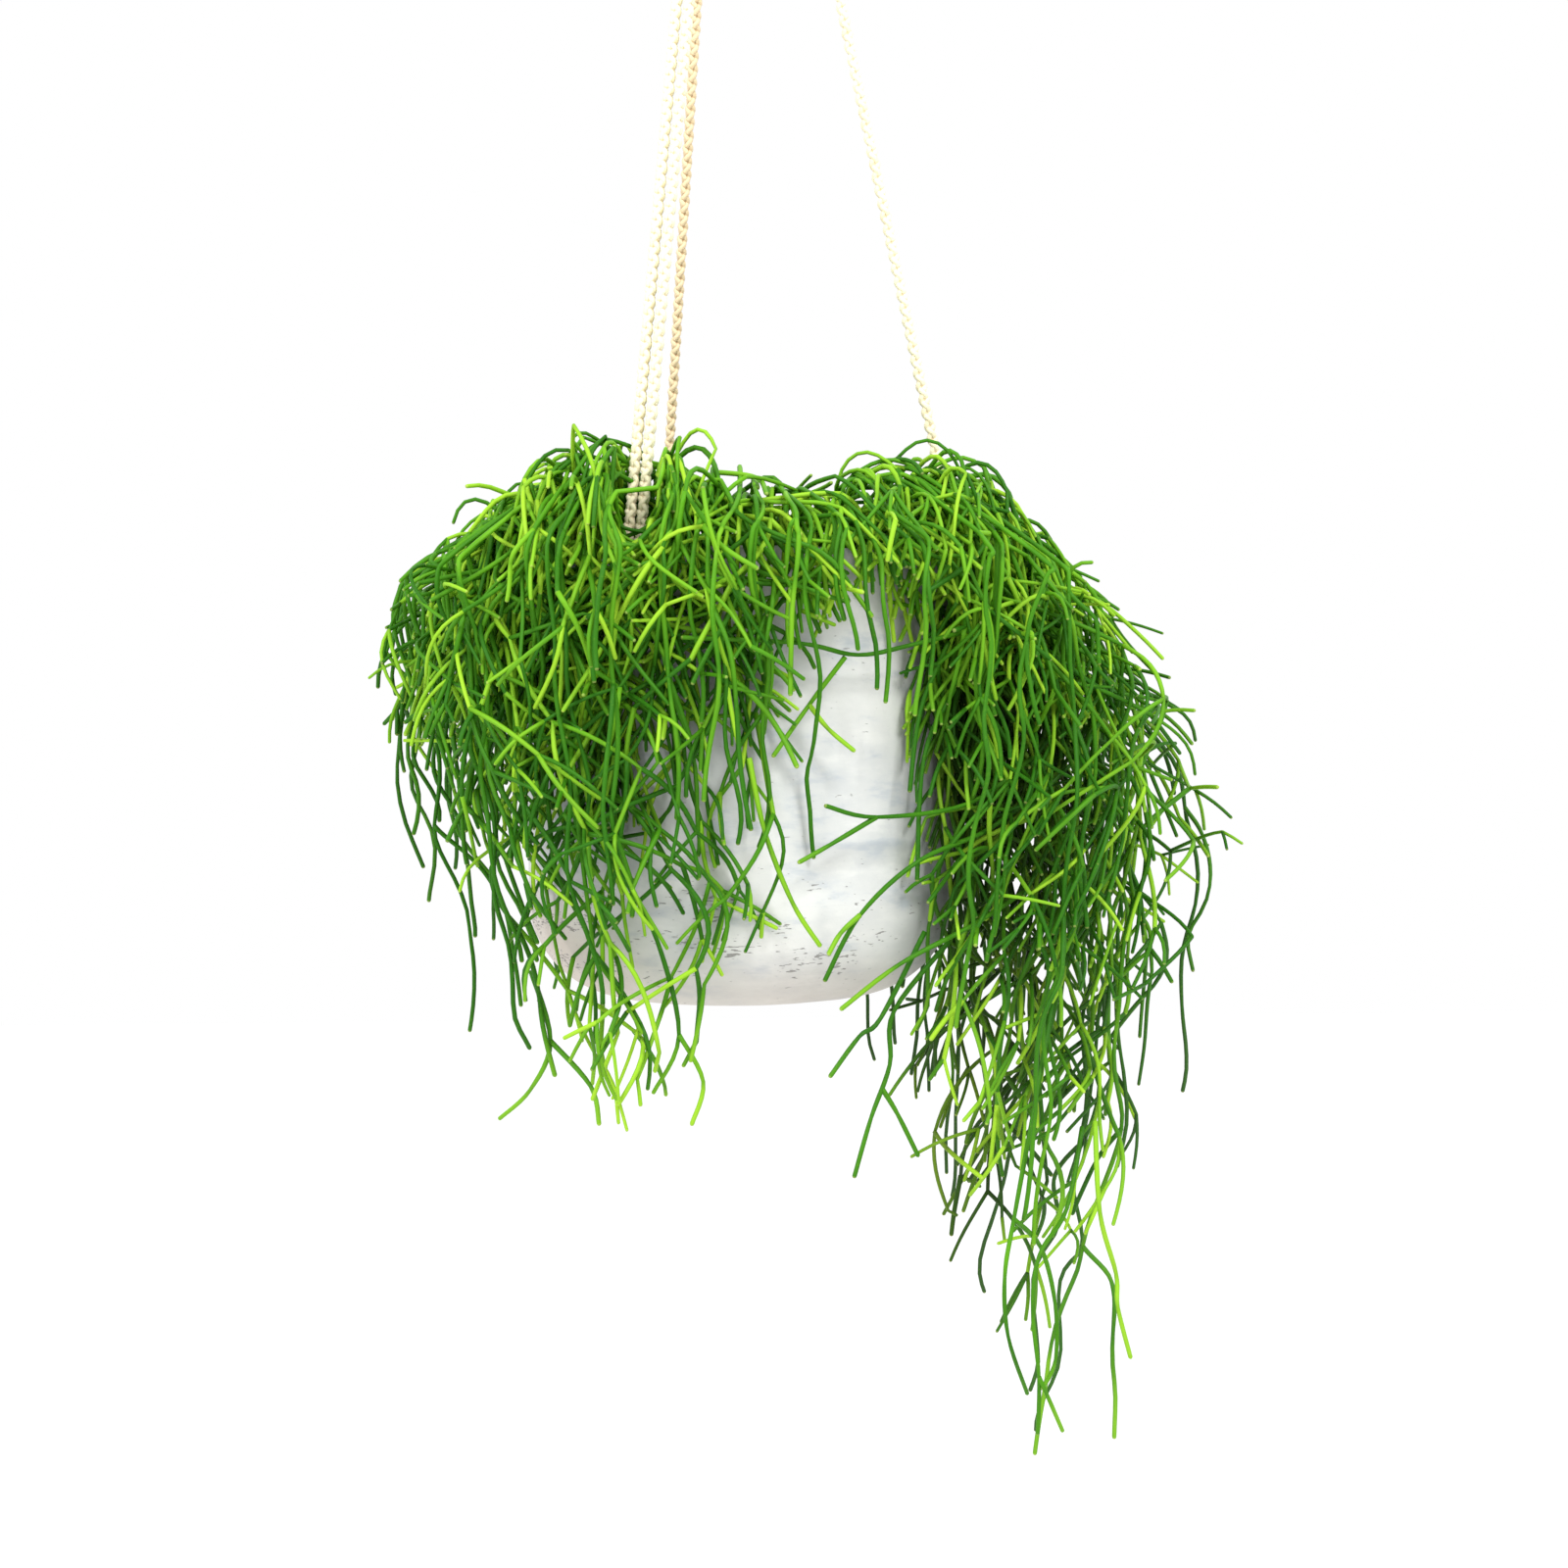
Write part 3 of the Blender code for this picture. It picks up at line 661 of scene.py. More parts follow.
def clear_of_pot(radius, z):
    """The nearest distance from the axis, at a height, where a stem touches neither the pot nor a knot."""
    if z > RIM_Z + OVER_RIM:
        return radius
    if radius < POT_RADIUS - WALL and z > RIM_Z - UNDER_RIM:
        return min(radius, KNOT_RING)
    beneath = max(0.0, RIM_Z - POT_HEIGHT - z)
    return max(radius, POT_RADIUS + 3 * STEM_RADIUS - TUCK * beneath, KNOT_RING)


def keep_in_wedge(point, wedge):
    """Ease a point into a spray's own wedge, clear of its neighbours, of the ropes and of the pot."""
    start, end, start_rope, end_rope, low_r, high_r = wedge
    radius = held(from_axis(point), low_r, high_r)
    if low_r >= CROWN_LIMIT:
        radius = clear_of_pot(radius, point.z)
    middle = (start + end) / 2
    azimuth = (azimuth_of(point) - middle + 180) % 360 - 180
    own = STEM_RADIUS + CLEAR
    fade = held((point.z - RIM_Z + ROPE_FADE[0]) / ROPE_FADE[1])
    low = (start - middle) + math.degrees(math.asin(min(1, (own + start_rope * fade) / radius)))
    high = (end - middle) - math.degrees(math.asin(min(1, (own + end_rope * fade) / radius)))
    centre = (low + high) / 2
    half = max(0.0, (high - low) / 2)
    azimuth = centre + half * math.tanh((azimuth - centre) / half) if half > 0.05 else centre
    return polar(azimuth + middle, radius, point.z)


def open_heading(rng, place, heading, spread, taken):
    """Of a few kinked headings, the one that leads furthest from the stems that are there."""
    best = None
    for _ in range(HEADING_TRIES):
        kink = Vector((rng.uniform(-1, 1), rng.uniform(-1, 1), rng.uniform(-0.6, 0.6)))
        tried = (heading + kink * spread).normalized()
        ahead = place + tried * TRAIL_STEP
        free = min(((ahead - other).length for other in taken), default=1.0)
        if best is None or free > best[0]:
            best = (free, tried)
    return best[1]


def grow_stem(rng, start, heading, nature, wedge, joints, taken):
    """Grow one stem of some joints; return its points and where its side shoots start."""
    crest, trail, reach = nature
    points = [start.copy()]
    shoots = []
    place = start.copy()
    for joint in range(joints):
        trailing = place.z < RIM_Z and joint > 0
        for _ in range(1 if trailing else 2):
            outward, _ = level_ways(place)
            radius = from_axis(place)
            if radius > POT_RADIUS + PAST_WALL:
                low = held(2 * (RIM_Z - place.z) / trail - 1)
                room = held((reach * (1 - CLOSE_IN * low) - radius) / EASE_OUT, DIP, SPREAD)
                aim = outward * room + Vector((0, 0, -1))
                rate = BEND_DOWN if trailing else BEND_OVER
            else:
                lift = held((RIM_Z + crest - place.z) / RISE, DIP, CLIMB)
                aim = outward + Vector((0, 0, lift))
                rate = BEND_UP
            heading = (heading + (aim.normalized() - heading) * rate).normalized()
            step = TRAIL_STEP if trailing else ARCH_STEP
            place = keep_in_wedge(place + heading * step, wedge)
            points.append(place.copy())
        if place.z < RIM_Z - trail + TRAIL_STEP / 2:
            break
        shoots.append((place.copy(), heading.copy(), joint))
        heading = open_heading(rng, place, heading, MAIN_KINK, taken)
    taken.extend(points)
    return points, shoots


def grow_spray(seed, azimuth, wedge, crown):
    """A spray's root, and all its main stems, each a list of points from its root or fork to its tip."""
    rng = random.Random(seed)
    trail, reach = eased(HABIT, azimuth)
    ring = CROWN_RING if crown else ROOT_RING
    root = polar(azimuth, ring, RIM_Z - SOIL_DROP - ROOT_DEPTH)
    top = root + Vector((0, 0, ROOT_DEPTH + ROOT_TOP))
    outward, sideways = level_ways(root)
    made = []
    taken = []
    queue = []
    for k in range(STEMS):
        lean = (k - (STEMS - 1) / 2) * ROOT_LEAN
        heading = Vector((0, 0, 1)) + outward * rng.uniform(0.15, 0.5) + sideways * lean
        crest = rng.uniform(*(CROWN_CREST if crown else CREST))
        own_trail = trail * rng.uniform(0.5, 0.95) if k else trail
        nature = (crest, own_trail, reach * rng.uniform(0.80, 1.0))
        joints = CROWN_JOINTS if crown else JOINTS + round(own_trail / TRAIL_STEP)
        queue.append((top - Vector((0, 0, STEM_START)), heading.normalized(), nature, joints, 0))
    while queue:
        start, heading, nature, joints, order = queue.pop(0)
        points, shoots = grow_stem(rng, start, heading, nature, wedge, joints, taken)
        made.append(points)
        for place, along, joint in shoots[:-1]:
            left = joints - joint - 1
            if order < len(SHOOT_CHANCE) and rng.random() < SHOOT_CHANCE[order]:
                own = (nature[0] * rng.uniform(0.8, 1.1), nature[1], nature[2] * rng.uniform(0.9, 1.12))
                length = min(left, rng.randint(1, SHOOT_JOINTS) if order == 0 else 1)
                aside = open_heading(rng, place, along, FORK_KINK, taken)
                queue.append((place, aside, own, length, order + 1))
    return root, made


def spray_places():
    """Each spray's name, seed, azimuth, wedge and whether it stands in the crown."""
    pair_room = ROPE / 2 + PAIR_HALF
    rope_room = {FRONT: pair_room, RIGHT: ROPE / 2, BACK: ROPE / 2, FRONT + FULL: pair_room}
    places = []
    for start, end, count in SECTORS:
        width = (end - start) / count
        for k in range(count):
            low = start + k * width
            high = low + width
            rooms = (rope_room.get(low, 0.0) if k == 0 else 0.0, rope_room[end] if k == count - 1 else 0.0)
            wedge = (low, high, *rooms, CROWN_LIMIT + 2 * STEM_RADIUS, SPRAY_LIMIT)
            number = len(places) + 1
            places.append((f"spray_{number:02d}", number, (low + high) / 2, wedge, False))
    for k, (low, high) in enumerate(CROWN_SECTORS):
        wedge = (low, high, 0.0, 0.0, 2 * STEM_RADIUS, CROWN_LIMIT - STEM_RADIUS)
        places.append((f"crown_spray_{k + 1}", CROWN_SEED + k, (low + high) / 2, wedge, True))
    return places


# Plant: fine stems

# What a stem keeps as it grows; home is the azimuth it keeps to
Nature = namedtuple("Nature", "home crest share extent spare limp loose")


def stem_chain(points, joints, radius, tint, age, rng):
    """A tube for a stem, drawn in a little at its joints and rounded at its tip; its end is always young."""
    count = len(points)
    marks = np.array(sorted(joints), float)
    index = np.arange(count)
    waist, width = WAIST
    near = np.abs(index[:, None] - marks[None, :]).min(1) if len(marks) else np.full(count, np.inf)
    pinch = np.clip(1 - near / width, 0, 1)
    radii = radius * (1 - waist * pinch) * (TAPER[0] - TAPER[1] * index / max(1, count - 1))
    segment = np.searchsorted(marks, index, side="left")
    tints = np.array([tint + rng.uniform(-TINT_CHANGE, TINT_CHANGE) for _ in range(len(marks) + 1)])
    ages = age + (1.0 - age) * index / max(1, count - 1)
    spots = [tuple(place) for place in points]
    along = (points[-1] - points[-2]).normalized()
    spots += [tuple(points[-1] + along * radius * ahead) for ahead, _ in TIP_RINGS]
    rings = len(TIP_RINGS)
    values = {
        "tint": np.concatenate([tints[segment], [tints[-1]] * rings]),
        "age": np.concatenate([ages, [TIP_AGE] * rings]),
        "joint": np.concatenate([pinch, [0.0] * rings]),
        # How deep it lies in the mass, for the painted shade there
        "inside": [depth_inside(Vector(place)) for place in spots],
    }
    radii = np.concatenate([radii, [radii[-1] * share for _, share in TIP_RINGS]])
    return {"points": spots, "radii": radii, "values": values}


def depth_inside(place):
    """How deep a place lies inside the hanging mass: 0 at its outside and 1 well within."""
    reach, _ = envelope(azimuth_of(place), RIM_Z - place.z)
    depth = (reach - from_axis(place) - SHADE_FROM[0]) / SHADE_OVER[0]
    lower = (RIM_Z - SHADE_FROM[1] - place.z) / SHADE_OVER[1]
    return held(depth) * held(lower)


def smoothed(points, parts):
    """Points on a Catmull-Rom curve through the given ones, and where those lie among them."""
    made, joints = [], []
    for k in range(len(points) - 1):
        before = points[max(k - 1, 0)]
        start, end = points[k], points[k + 1]
        after = points[min(k + 2, len(points) - 1)]
        joints.append(len(made))
        square = 2 * before - 5 * start + 4 * end - after
        cube = 3 * start - before - 3 * end + after
        for part in range(parts):
            t = part / parts
            made.append(0.5 * (2 * start + (end - before) * t + square * t * t + cube * t**3))
    made.append(points[-1].copy())
    return made, joints[1:]


def outside_pot(place):
    """Keep a place out of the pot's wall, off the ropes and within the plant's room."""
    radius = from_axis(place)
    free = clear_of_pot(radius, place.z)
    if free != radius and radius > SAME:
        place = Vector((place.x * free / radius, place.y * free / radius, place.z))
    if place.z > RIM_Z - ROPES_FROM:
        for line in ROPE_LINES:
            place = beside_rope(place, line)
        place = beside_view(place)
    low = [max(value, bound) for value, bound in zip(place, LIMIT_LOW)]
    return Vector([min(value, bound) for value, bound in zip(low, LIMIT_HIGH)])


def beside_rope(place, line):
    """Push a place off a rope's line."""
    foot, top = line
    along = top - foot
    part = held((place - foot).dot(along) / along.dot(along))
    away = place - (foot + along * part)
    if SAME < away.length < ROPE_ROOM:
        return place + away * (ROPE_ROOM / away.length - 1)
    return place


def beside_view(place):
    """Part the stems in front of the front pair of ropes."""
    foot = polar(FRONT, ROPE_OUT, RIM_Z)
    part = (place.z - foot.z) / (COLLAR_BOTTOM - foot.z)
    fade = held(part / VIEW_FADE + VIEW_START) * held((VIEW_TOP - part) / VIEW_FADE)
    rope = foot.lerp(Vector((0, 0, COLLAR_BOTTOM)), part)
    if fade == 0 or place.y > rope.y:
        return place
    middle = rope.x + (place.y - rope.y) * (rope.x - EYE.x) / (rope.y - EYE.y)
    gap = place.x - middle
    half = VIEW_HALF + VIEW_WIDEN * (rope.y - place.y)
    push = max(0.0, half - VIEW_PUSH * abs(gap)) * fade
    return place + Vector((math.copysign(push, gap), 0, 0))


def envelope(azimuth, drop):
    """How far from the axis the plant reaches at an azimuth and a drop below the rim, and its trail there."""
    trail, reach, shoulder, _ = eased(FILL_HABIT, azimuth)
    opening = held((drop + OPEN_ABOVE) / (shoulder + OPEN_ABOVE)) ** OPEN_POWER
    closing = held((drop / trail - CLOSE_FROM) / (1 - CLOSE_FROM))
    share = (OPEN_SHARE + (1 - OPEN_SHARE) * opening) * (1 - NARROW * closing * closing * (3 - 2 * closing))
    return reach * share, trail


def rope_lift(place):
    """How much higher the stems stand where they lean on a rope."""
    gaps = [(math.hypot(place.x - x, place.y - y), height) for x, y, height in LIFTS]
    return max(height * math.exp(-((gap / LIFT_WIDTH) ** 2)) for gap, height in gaps)


def dome(place):
    """How high above the rim the stems arch over a place."""
    return FILL_TOP + rope_lift(place) - DOME_FALL * max(0.0, from_axis(place) - DOME_FLAT)


def under_dome(place):
    """Ease a place that stands above the dome down towards it."""
    over = place.z - RIM_Z - dome(place)
    return Vector((place.x, place.y, place.z - DOME_PULL * max(0.0, over)))


def waved(place, root, seed):
    """Bend a main stem's place a little to and fro, and in behind the fine stems where it hangs."""
    ramp = min(1.0, (place - root).length / WAVE_START)
    spot = place * WAVE_SCALE + Vector((WAVE_PLACE * seed, 0, 0))
    wave = Vector([noise.noise(spot + Vector((0, 0, WAVE_APART * k))) for k in range(3)]) * WAVE * ramp
    inward = SINK_IN * ramp * held((RIM_Z - place.z) / SINK_OVER) / max(from_axis(place), NEAR_AXIS)
    return outside_pot(under_dome(place + wave - Vector((place.x, place.y, 0)) * inward))


def drift(place, nature, lean, order):
    """Which way a stem leans where it is, how fast it turns that way, and whether it may grow on."""
    outward, around = level_ways(place)
    radius = from_axis(place)
    azimuth = azimuth_of(place)
    drop = RIM_Z - place.z
    reach, trail = envelope(azimuth, drop)
    back = held(((nature.home - azimuth + 180) % FULL - 180) / HOMING, -HOMING_MOST, HOMING_MOST)
    if radius <= POT_RADIUS - NEAR_WALL and drop <= INSIDE_DROP:
        lift = held((nature.crest + rope_lift(place) - place.z + RIM_Z) / CLIMB_OVER, *CLIMB_RANGE)
        aim = outward + around * (back * ARCH_HOME + lean[0] * CROSSING) + Vector((0, 0, lift))
        return aim.normalized(), ARCH_RATE, True
    target = max(LEAST_REACH, nature.share * reach)
    room = held((target - radius) / SETTLE, *SETTLE_RANGE)
    free = 1 - held(drop / FREE_DROP)
    deep = min(1.0, drop / LOW_DROP)
    aside = back + lean[0] * (1 + FREE_LEAN * free + LOW_LEAN * deep)
    aim = outward * (room + lean[1] * (1 + FREE_LEAN * free)) + around * aside + Vector((0, 0, -1))
    rate = HANG_RATE[order] * nature.limp * (1 - FREE_RATE * free + LOW_RATE * deep)
    if nature.limp < STIFF:
        rate *= 1 - STIFFER * free
        out = radius > max(LEAST_OUT, reach) * STIFF_SPARE + TIPS_OUT * free
    else:
        if radius > reach * nature.spare:
            rate = max(rate, BACK_RATE)
        spare = nature.spare + SPARE_LOW * drop / trail
        out = drop > SPARE_FROM * trail and radius > max(LEAST_OUT, reach) * spare
    return aim.normalized(), rate, drop < trail * nature.extent and not out


def grow_segment(place, heading, length, nature, lean, order, rng):
    """Grow one segment; return its points, its last heading and whether the stem may grow on."""
    steps = max(FEWEST_POINTS, round(length / FILL_STEP))
    curl = Vector([rng.gauss(0, CURL) for _ in range(3)])
    points = []
    for _ in range(steps):
        aim, rate, open_way = drift(place, nature, lean, order)
        heading = (heading + (aim - heading) * rate + curl).normalized()
        stray = Vector([rng.gauss(0, CURL) for _ in range(3)])
        curl = curl * CURL_STAY + stray * (1 - CURL_STAY)
        over = place.z - RIM_Z - dome(place) - nature.loose
        if over > 0:
            heading = (heading - Vector((0, 0, min(1.0, over / DUCK_OVER) * DUCK))).normalized()
        moved = outside_pot(place + heading * (length / steps))
        if (moved - place).length > JUMP * length / steps:
            return points, heading, False
        place = moved
        points.append(place.copy())
        if not open_way:
            break
    return points, heading, open_way


def rounded(points, joints):
    """The same stem with its corners between the joints eased."""
    fixed = {0, len(points) - 1, *joints}
    for _ in range(2):
        points = [
            place if k in fixed else place * 0.5 + (points[k - 1] + points[k + 1]) * 0.25
            for k, place in enumerate(points)
        ]
    return points


def splayed(heading, turn, spread):
    """A heading turned away from another by a spread, towards a turn about it."""
    side = heading.orthogonal().normalized()
    other = heading.cross(side)
    return (heading + (side * math.cos(turn) + other * math.sin(turn)) * spread).normalized()


def across(place, heading, rng):
    """A turn about a heading that leads mostly round the pot."""
    side = heading.orthogonal().normalized()
    other = heading.cross(side)
    around = Vector((-place.y, place.x, 0)).normalized() * rng.choice((-1, 1))
    return math.atan2(around.dot(other), around.dot(side)) + rng.gauss(0, ACROSS)


def grow_fill(rng, start, heading, nature, joints, order, made):
    """Grow a fine stem segment by segment, with its forks and the fan at its end, and add all to made."""
    place = start.copy()
    points = [start.copy()]
    marks = []
    shoots = []
    for joint in range(joints):
        last = joint == joints - 1
        length = rng.uniform(*SEGMENTS[order])
        lean = (rng.gauss(0, LEAN[0]), rng.gauss(0, LEAN[1]))
        grown, heading, open_way = grow_segment(place, heading, length, nature, lean, order, rng)
        points += grown
        place = points[-1]
        if last or not open_way or not grown:
            break
        marks.append(len(points) - 1)
        aim = drift(place, nature, lean, order)[0]
        heading = heading.lerp(aim, RESET * rng.random()).normalized()
        turn = across(place, heading, rng)
        more, high, span = LOW_FORKS
        more *= held((RIM_Z - place.z - high) / span)
        if order < LAST_ORDER and rng.random() < FORK_CHANCE[order] + more:
            aside = splayed(heading, turn + math.pi, rng.uniform(*FORK))
            shoots.append((place, aside, rng.randint(1, LAST_ORDER - order)))
            heading = splayed(heading, turn, rng.uniform(*FORK))
        else:
            heading = splayed(heading, turn, rng.uniform(*KINK))
    if len(points) > FEWEST_POINTS and order < LAST_ORDER and (open_way or rng.random() < FAN_CHANCE):
        turn = across(place, heading, rng)
        fan = rng.choice(FAN_SIZES)
        for k in range(fan):
            aside = turn + 2 * math.pi * k / fan + rng.gauss(0, FAN_TURN)
            shoots.append((place, splayed(heading, aside, rng.uniform(*FAN)), 1))
    if len(points) < FEWEST_POINTS:
        return
    tint = held(rng.gauss(*TINT))
    radius = FILL_RADIUS * rng.uniform(*THICKNESS) * THINNER[order]
    made.append(stem_chain(rounded(points, marks), marks, radius, tint, AGE[0] + AGE[1] * order, rng))
    for place, along, left in shoots:
        own = nature._replace(
            home=nature.home + rng.gauss(0, OWN_HOME),
            share=nature.share * rng.uniform(*OWN_SHARE),
            extent=nature.extent * rng.uniform(*OWN_EXTENT),
            limp=rng.uniform(*LIMP),
            loose=rng.gauss(0, LOOSE),
        )
        grow_fill(rng, place.copy(), along, own, left, order + 1, made)


def fill_stems(seed, low, high, count, crown):
    """The fine stems that start in the soil between two azimuths."""
    rng = random.Random(seed)
    made = []
    for _ in range(count):
        azimuth = rng.uniform(low, high)
        inner, width, power = FILL_RING
        ring = rng.uniform(inner, CROWN_LIMIT) if crown else CROWN_LIMIT + width * rng.random() ** power
        start = polar(azimuth, ring, RIM_Z - SOIL_DROP - FILL_ROOT)
        share = SHARE[0] + SHARE[1] * rng.random() + SHARE[2] * rng.random() ** 3
        trail = eased(FILL_HABIT, azimuth)[0]
        bias = EXTENT[2] + EXTENT_BIAS * max(0.0, trail - SHORT_TRAIL)
        extent = EXTENT[0] - EXTENT[1] * rng.random() ** bias
        crest = rng.uniform(*FILL_CREST)
        outward, sideways = level_ways(start)
        tilt = outward * rng.uniform(0.0, FILL_TILT[0])
        heading = Vector((0, 0, 1.0)) + tilt + sideways * rng.gauss(0, FILL_TILT[1])
        joints = FILL_JOINTS + int((FILL_RISE + trail * extent) / RUN_PER_JOINT)
        if crown:
            joints = rng.randint(*CROWN_FILL_JOINTS)
        spare, limp, loose = rng.uniform(*SPARE), rng.uniform(*LIMP), rng.gauss(0, LOOSE)
        nature = Nature(azimuth, crest, share, extent, spare, limp, loose)
        grow_fill(rng, start, heading.normalized(), nature, joints, 0, made)
    return made


def stray_stems():
    """The loose stems in front of the pot and below it, each along a route of its own."""
    made = []
    for number, (route, age) in enumerate(STRAYS):
        rng = random.Random(STRAY_SEED + number)
        points = [outside_pot(polar(azimuth, radius, RIM_Z - drop)) for azimuth, drop, radius in route]
        fine, joints = smoothed(points, STRAY_PARTS)
        made.append(stem_chain(fine, joints, FILL_RADIUS, age, age, rng))
    return made


def stem_finish(plant):
    """Waxy green stems: yellow-green where young, with painted light on top and on the low front stems,
    painted shade at the back, low down and deep inside the mass (where old stems are darker too), paler at
    the very tips.
    """
    finish = Finish("stem_green", Roughness=0.45, Specular_IOR_Level=0.10)
    place = finish.place()
    tint, age, joint, inside = [finish.attribute(name) for name in ("tint", "age", "joint", "inside")]
    patch = finish.noise(place, 22.0, 2.0)
    fleck = finish.noise(place, 900.0, 2.0)
    height = finish.along(place, "Z")
    depth = finish.along(place, "Y")
    # Painted light: stems higher up are lighter, as if lit from above
    top = height.between(RIM_Z - 0.10, RIM_Z + 0.02)
    # Painted shade: stems at the back are darker, away from the lamps
    rear = depth.between(-0.04, 0.10)
    low = 1 - height.between(RIM_Z - 0.26, RIM_Z - 0.16)
    # Painted light: low stems on the near side are lighter and yellower, as if facing the lamps
    front = low * (1 - depth.between(-0.08, 0.02))
    # Random tone and patches lift old green to mid green, plus painted light on top and on the low front
    # stems
    lush_and_lit = (tint * 0.7 + patch * 0.5 + top * 0.25 + front * 0.40 - 0.25).between(0.05, 0.95)
    colour = finish.mix(lush_and_lit, plant.deep_colour, plant.mid_colour)
    # Youth and random tone turn it yellow-green, plus painted light on top and on the low front stems
    fresh_and_lit = (tint * 0.75 + age * 0.22 + patch * 0.4 + top * 0.16 + front * 0.34).between(0.72, 1.35)
    colour = finish.mix(fresh_and_lit, colour, plant.young_colour)
    # Painted shade: darker-toned stems at the back and low down turn dark grey-green
    free = (low * 0.40 + rear * 0.60) * (1 - front)
    colour = finish.mix(free * (1 - tint).between(0.10, 0.80) * 0.95, colour, plant.shaded_stem_colour)
    colour = finish.mix(joint * 0.30, colour, plant.deep_colour)
    colour = finish.mix(fleck.between(0.55, 0.8) * 0.12, colour, plant.young_colour)
    # Painted shade deep inside the mass, where old stems are darker too
    colour = finish.mix(inside * 0.62, colour, plant.inner_shade_colour)
    colour = finish.mix(age.between(1.05, 1.25) * 0.35, colour, plant.tip_colour)
    rough = 0.36 + fleck * 0.16
    return finish.wear(colour, rough, fleck, 0.0003, 0.35)


# Ropes


def strand_route(azimuth, aside):
    """A strand's centreline, from the knot through the wall, round the bend and up to the collar."""
    turn = math.radians(azimuth)
    sideways = Vector((math.cos(turn), math.sin(turn), 0.0)) * aside
    hole_z = RIM_Z - HOLE_DROP
    inner = outer_radius(RIM_Z) - WALL
    route = [polar(azimuth, inner - STRAND_SHORT, hole_z) + sideways]
    for k in range(BEND_POINTS + 1):
        angle = math.pi / 2 * k / BEND_POINTS
        radius = ROPE_OUT - BEND + BEND * math.sin(angle)
        route.append(polar(azimuth, radius, hole_z + BEND * (1 - math.cos(angle))) + sideways)
    turned_aside = math.copysign(PAIR_SPREAD, aside) if aside else 0.0
    top = polar(azimuth + turned_aside, ROPE_TOP, COLLAR_BOTTOM - TOP_GAP)
    start = route[-1] + Vector((0, 0, BEND_LEAD))
    for k in range(STRAIGHT_POINTS + 1):
        route.append(start.lerp(top, k / STRAIGHT_POINTS))
    return route


ROPE_LINES = [(strand_route(*place)[BEND_POINTS], strand_route(*place)[-1]) for place in STRANDS.values()]


def spaced(route, gap):
    """Points a fixed distance apart along a route."""
    line = np.array([tuple(spot) for spot in route])
    run = np.concatenate([[0.0], np.cumsum(np.linalg.norm(np.diff(line, axis=0), axis=1))])
    count = max(2, int(round(run[-1] / gap)) + 1)
    at = np.linspace(0, run[-1], count)
    return np.stack([np.interp(at, run, line[:, k]) for k in range(3)], 1), at


def carried(line):
    """A direction across a line at each of its points, turned as little as possible from one to the next."""
    along = np.gradient(line, axis=0)
    along /= np.linalg.norm(along, axis=1)[:, None]
    across = np.cross(along[0], (0.0, 1.0, 0.0) if abs(along[0][1]) < 0.9 else (1.0, 0.0, 0.0))
    sides = []
    for direction in along:
        across = across - direction * across.dot(direction)
        across = across / np.linalg.norm(across)
        sides.append(across)
    sides = np.array(sides)
    return sides, np.cross(along, sides)


def yarn(points, radius, deep):
    """A tube for a yarn; how deep it lies between the others sets its painted shade."""
    flat = np.zeros(len(points))
    return {"points": points, "radii": flat + radius, "values": {"deep": flat + deep}}


def braid(route, phase=0.0):
    """The yarns of a round braid along a route, with the slim core that they cover."""
    line, run = spaced(route, YARN_GAP)
    side, other = carried(line)
    middle = ROPE / 2 - YARN_RADIUS - YARN_WEAVE / 3
    # The core lies deepest, so it gets the most painted shade
    chains = [yarn(line, middle, 1.0)]
    for way in (1, -1):
        for k in range(YARNS):
            turn = way * 2 * math.pi * run / BRAID_PITCH + 2 * math.pi * k / YARNS + phase * way
            weave = way * np.cos(turn * YARNS)
            ring = middle + YARN_WEAVE * weave
            spots = line + side * (ring * np.cos(turn))[:, None] + other * (ring * np.sin(turn))[:, None]
            chains.append(yarn(spots, YARN_RADIUS, 0.5 - 0.5 * weave))
    return chains


def rope_finish(name, rope, light, shade):
    """Pale braided cord: light yarns, with painted brown shade where they dip between each other, tan fibres
    and stains, and more tan lower down.
    """
    finish = Finish(name, Roughness=0.85, Sheen_Weight=0.2)
    place = finish.place()
    deep = finish.attribute("deep")
    fibre = finish.noise(place, 1500.0, 2.0, 0.7)
    stain = finish.noise(place, 70.0, 2.0)
    # Painted shade: brown where the yarns dip between each other
    colour = finish.mix(deep.between(0.45, 1.0) * shade, light, rope.yarn_shade_colour)
    colour = finish.mix(fibre.between(0.5, 0.8) * 0.30, colour, rope.tan_colour)
    # More tan lower down the rope, towards the rim, in the stain pattern
    tan_low_down = (1 - finish.along(place, "Z").between(RIM_Z, RIM_Z + 0.22)) * stain
    colour = finish.mix(stain.between(0.45, 0.75) * 0.30, colour, rope.tan_colour)
    colour = finish.mix(tan_low_down * 0.2, colour, rope.tan_colour)
    return finish.wear(colour, 0.8 + fibre * 0.15, fibre, 0.0004, 0.5)


# Pot and soil


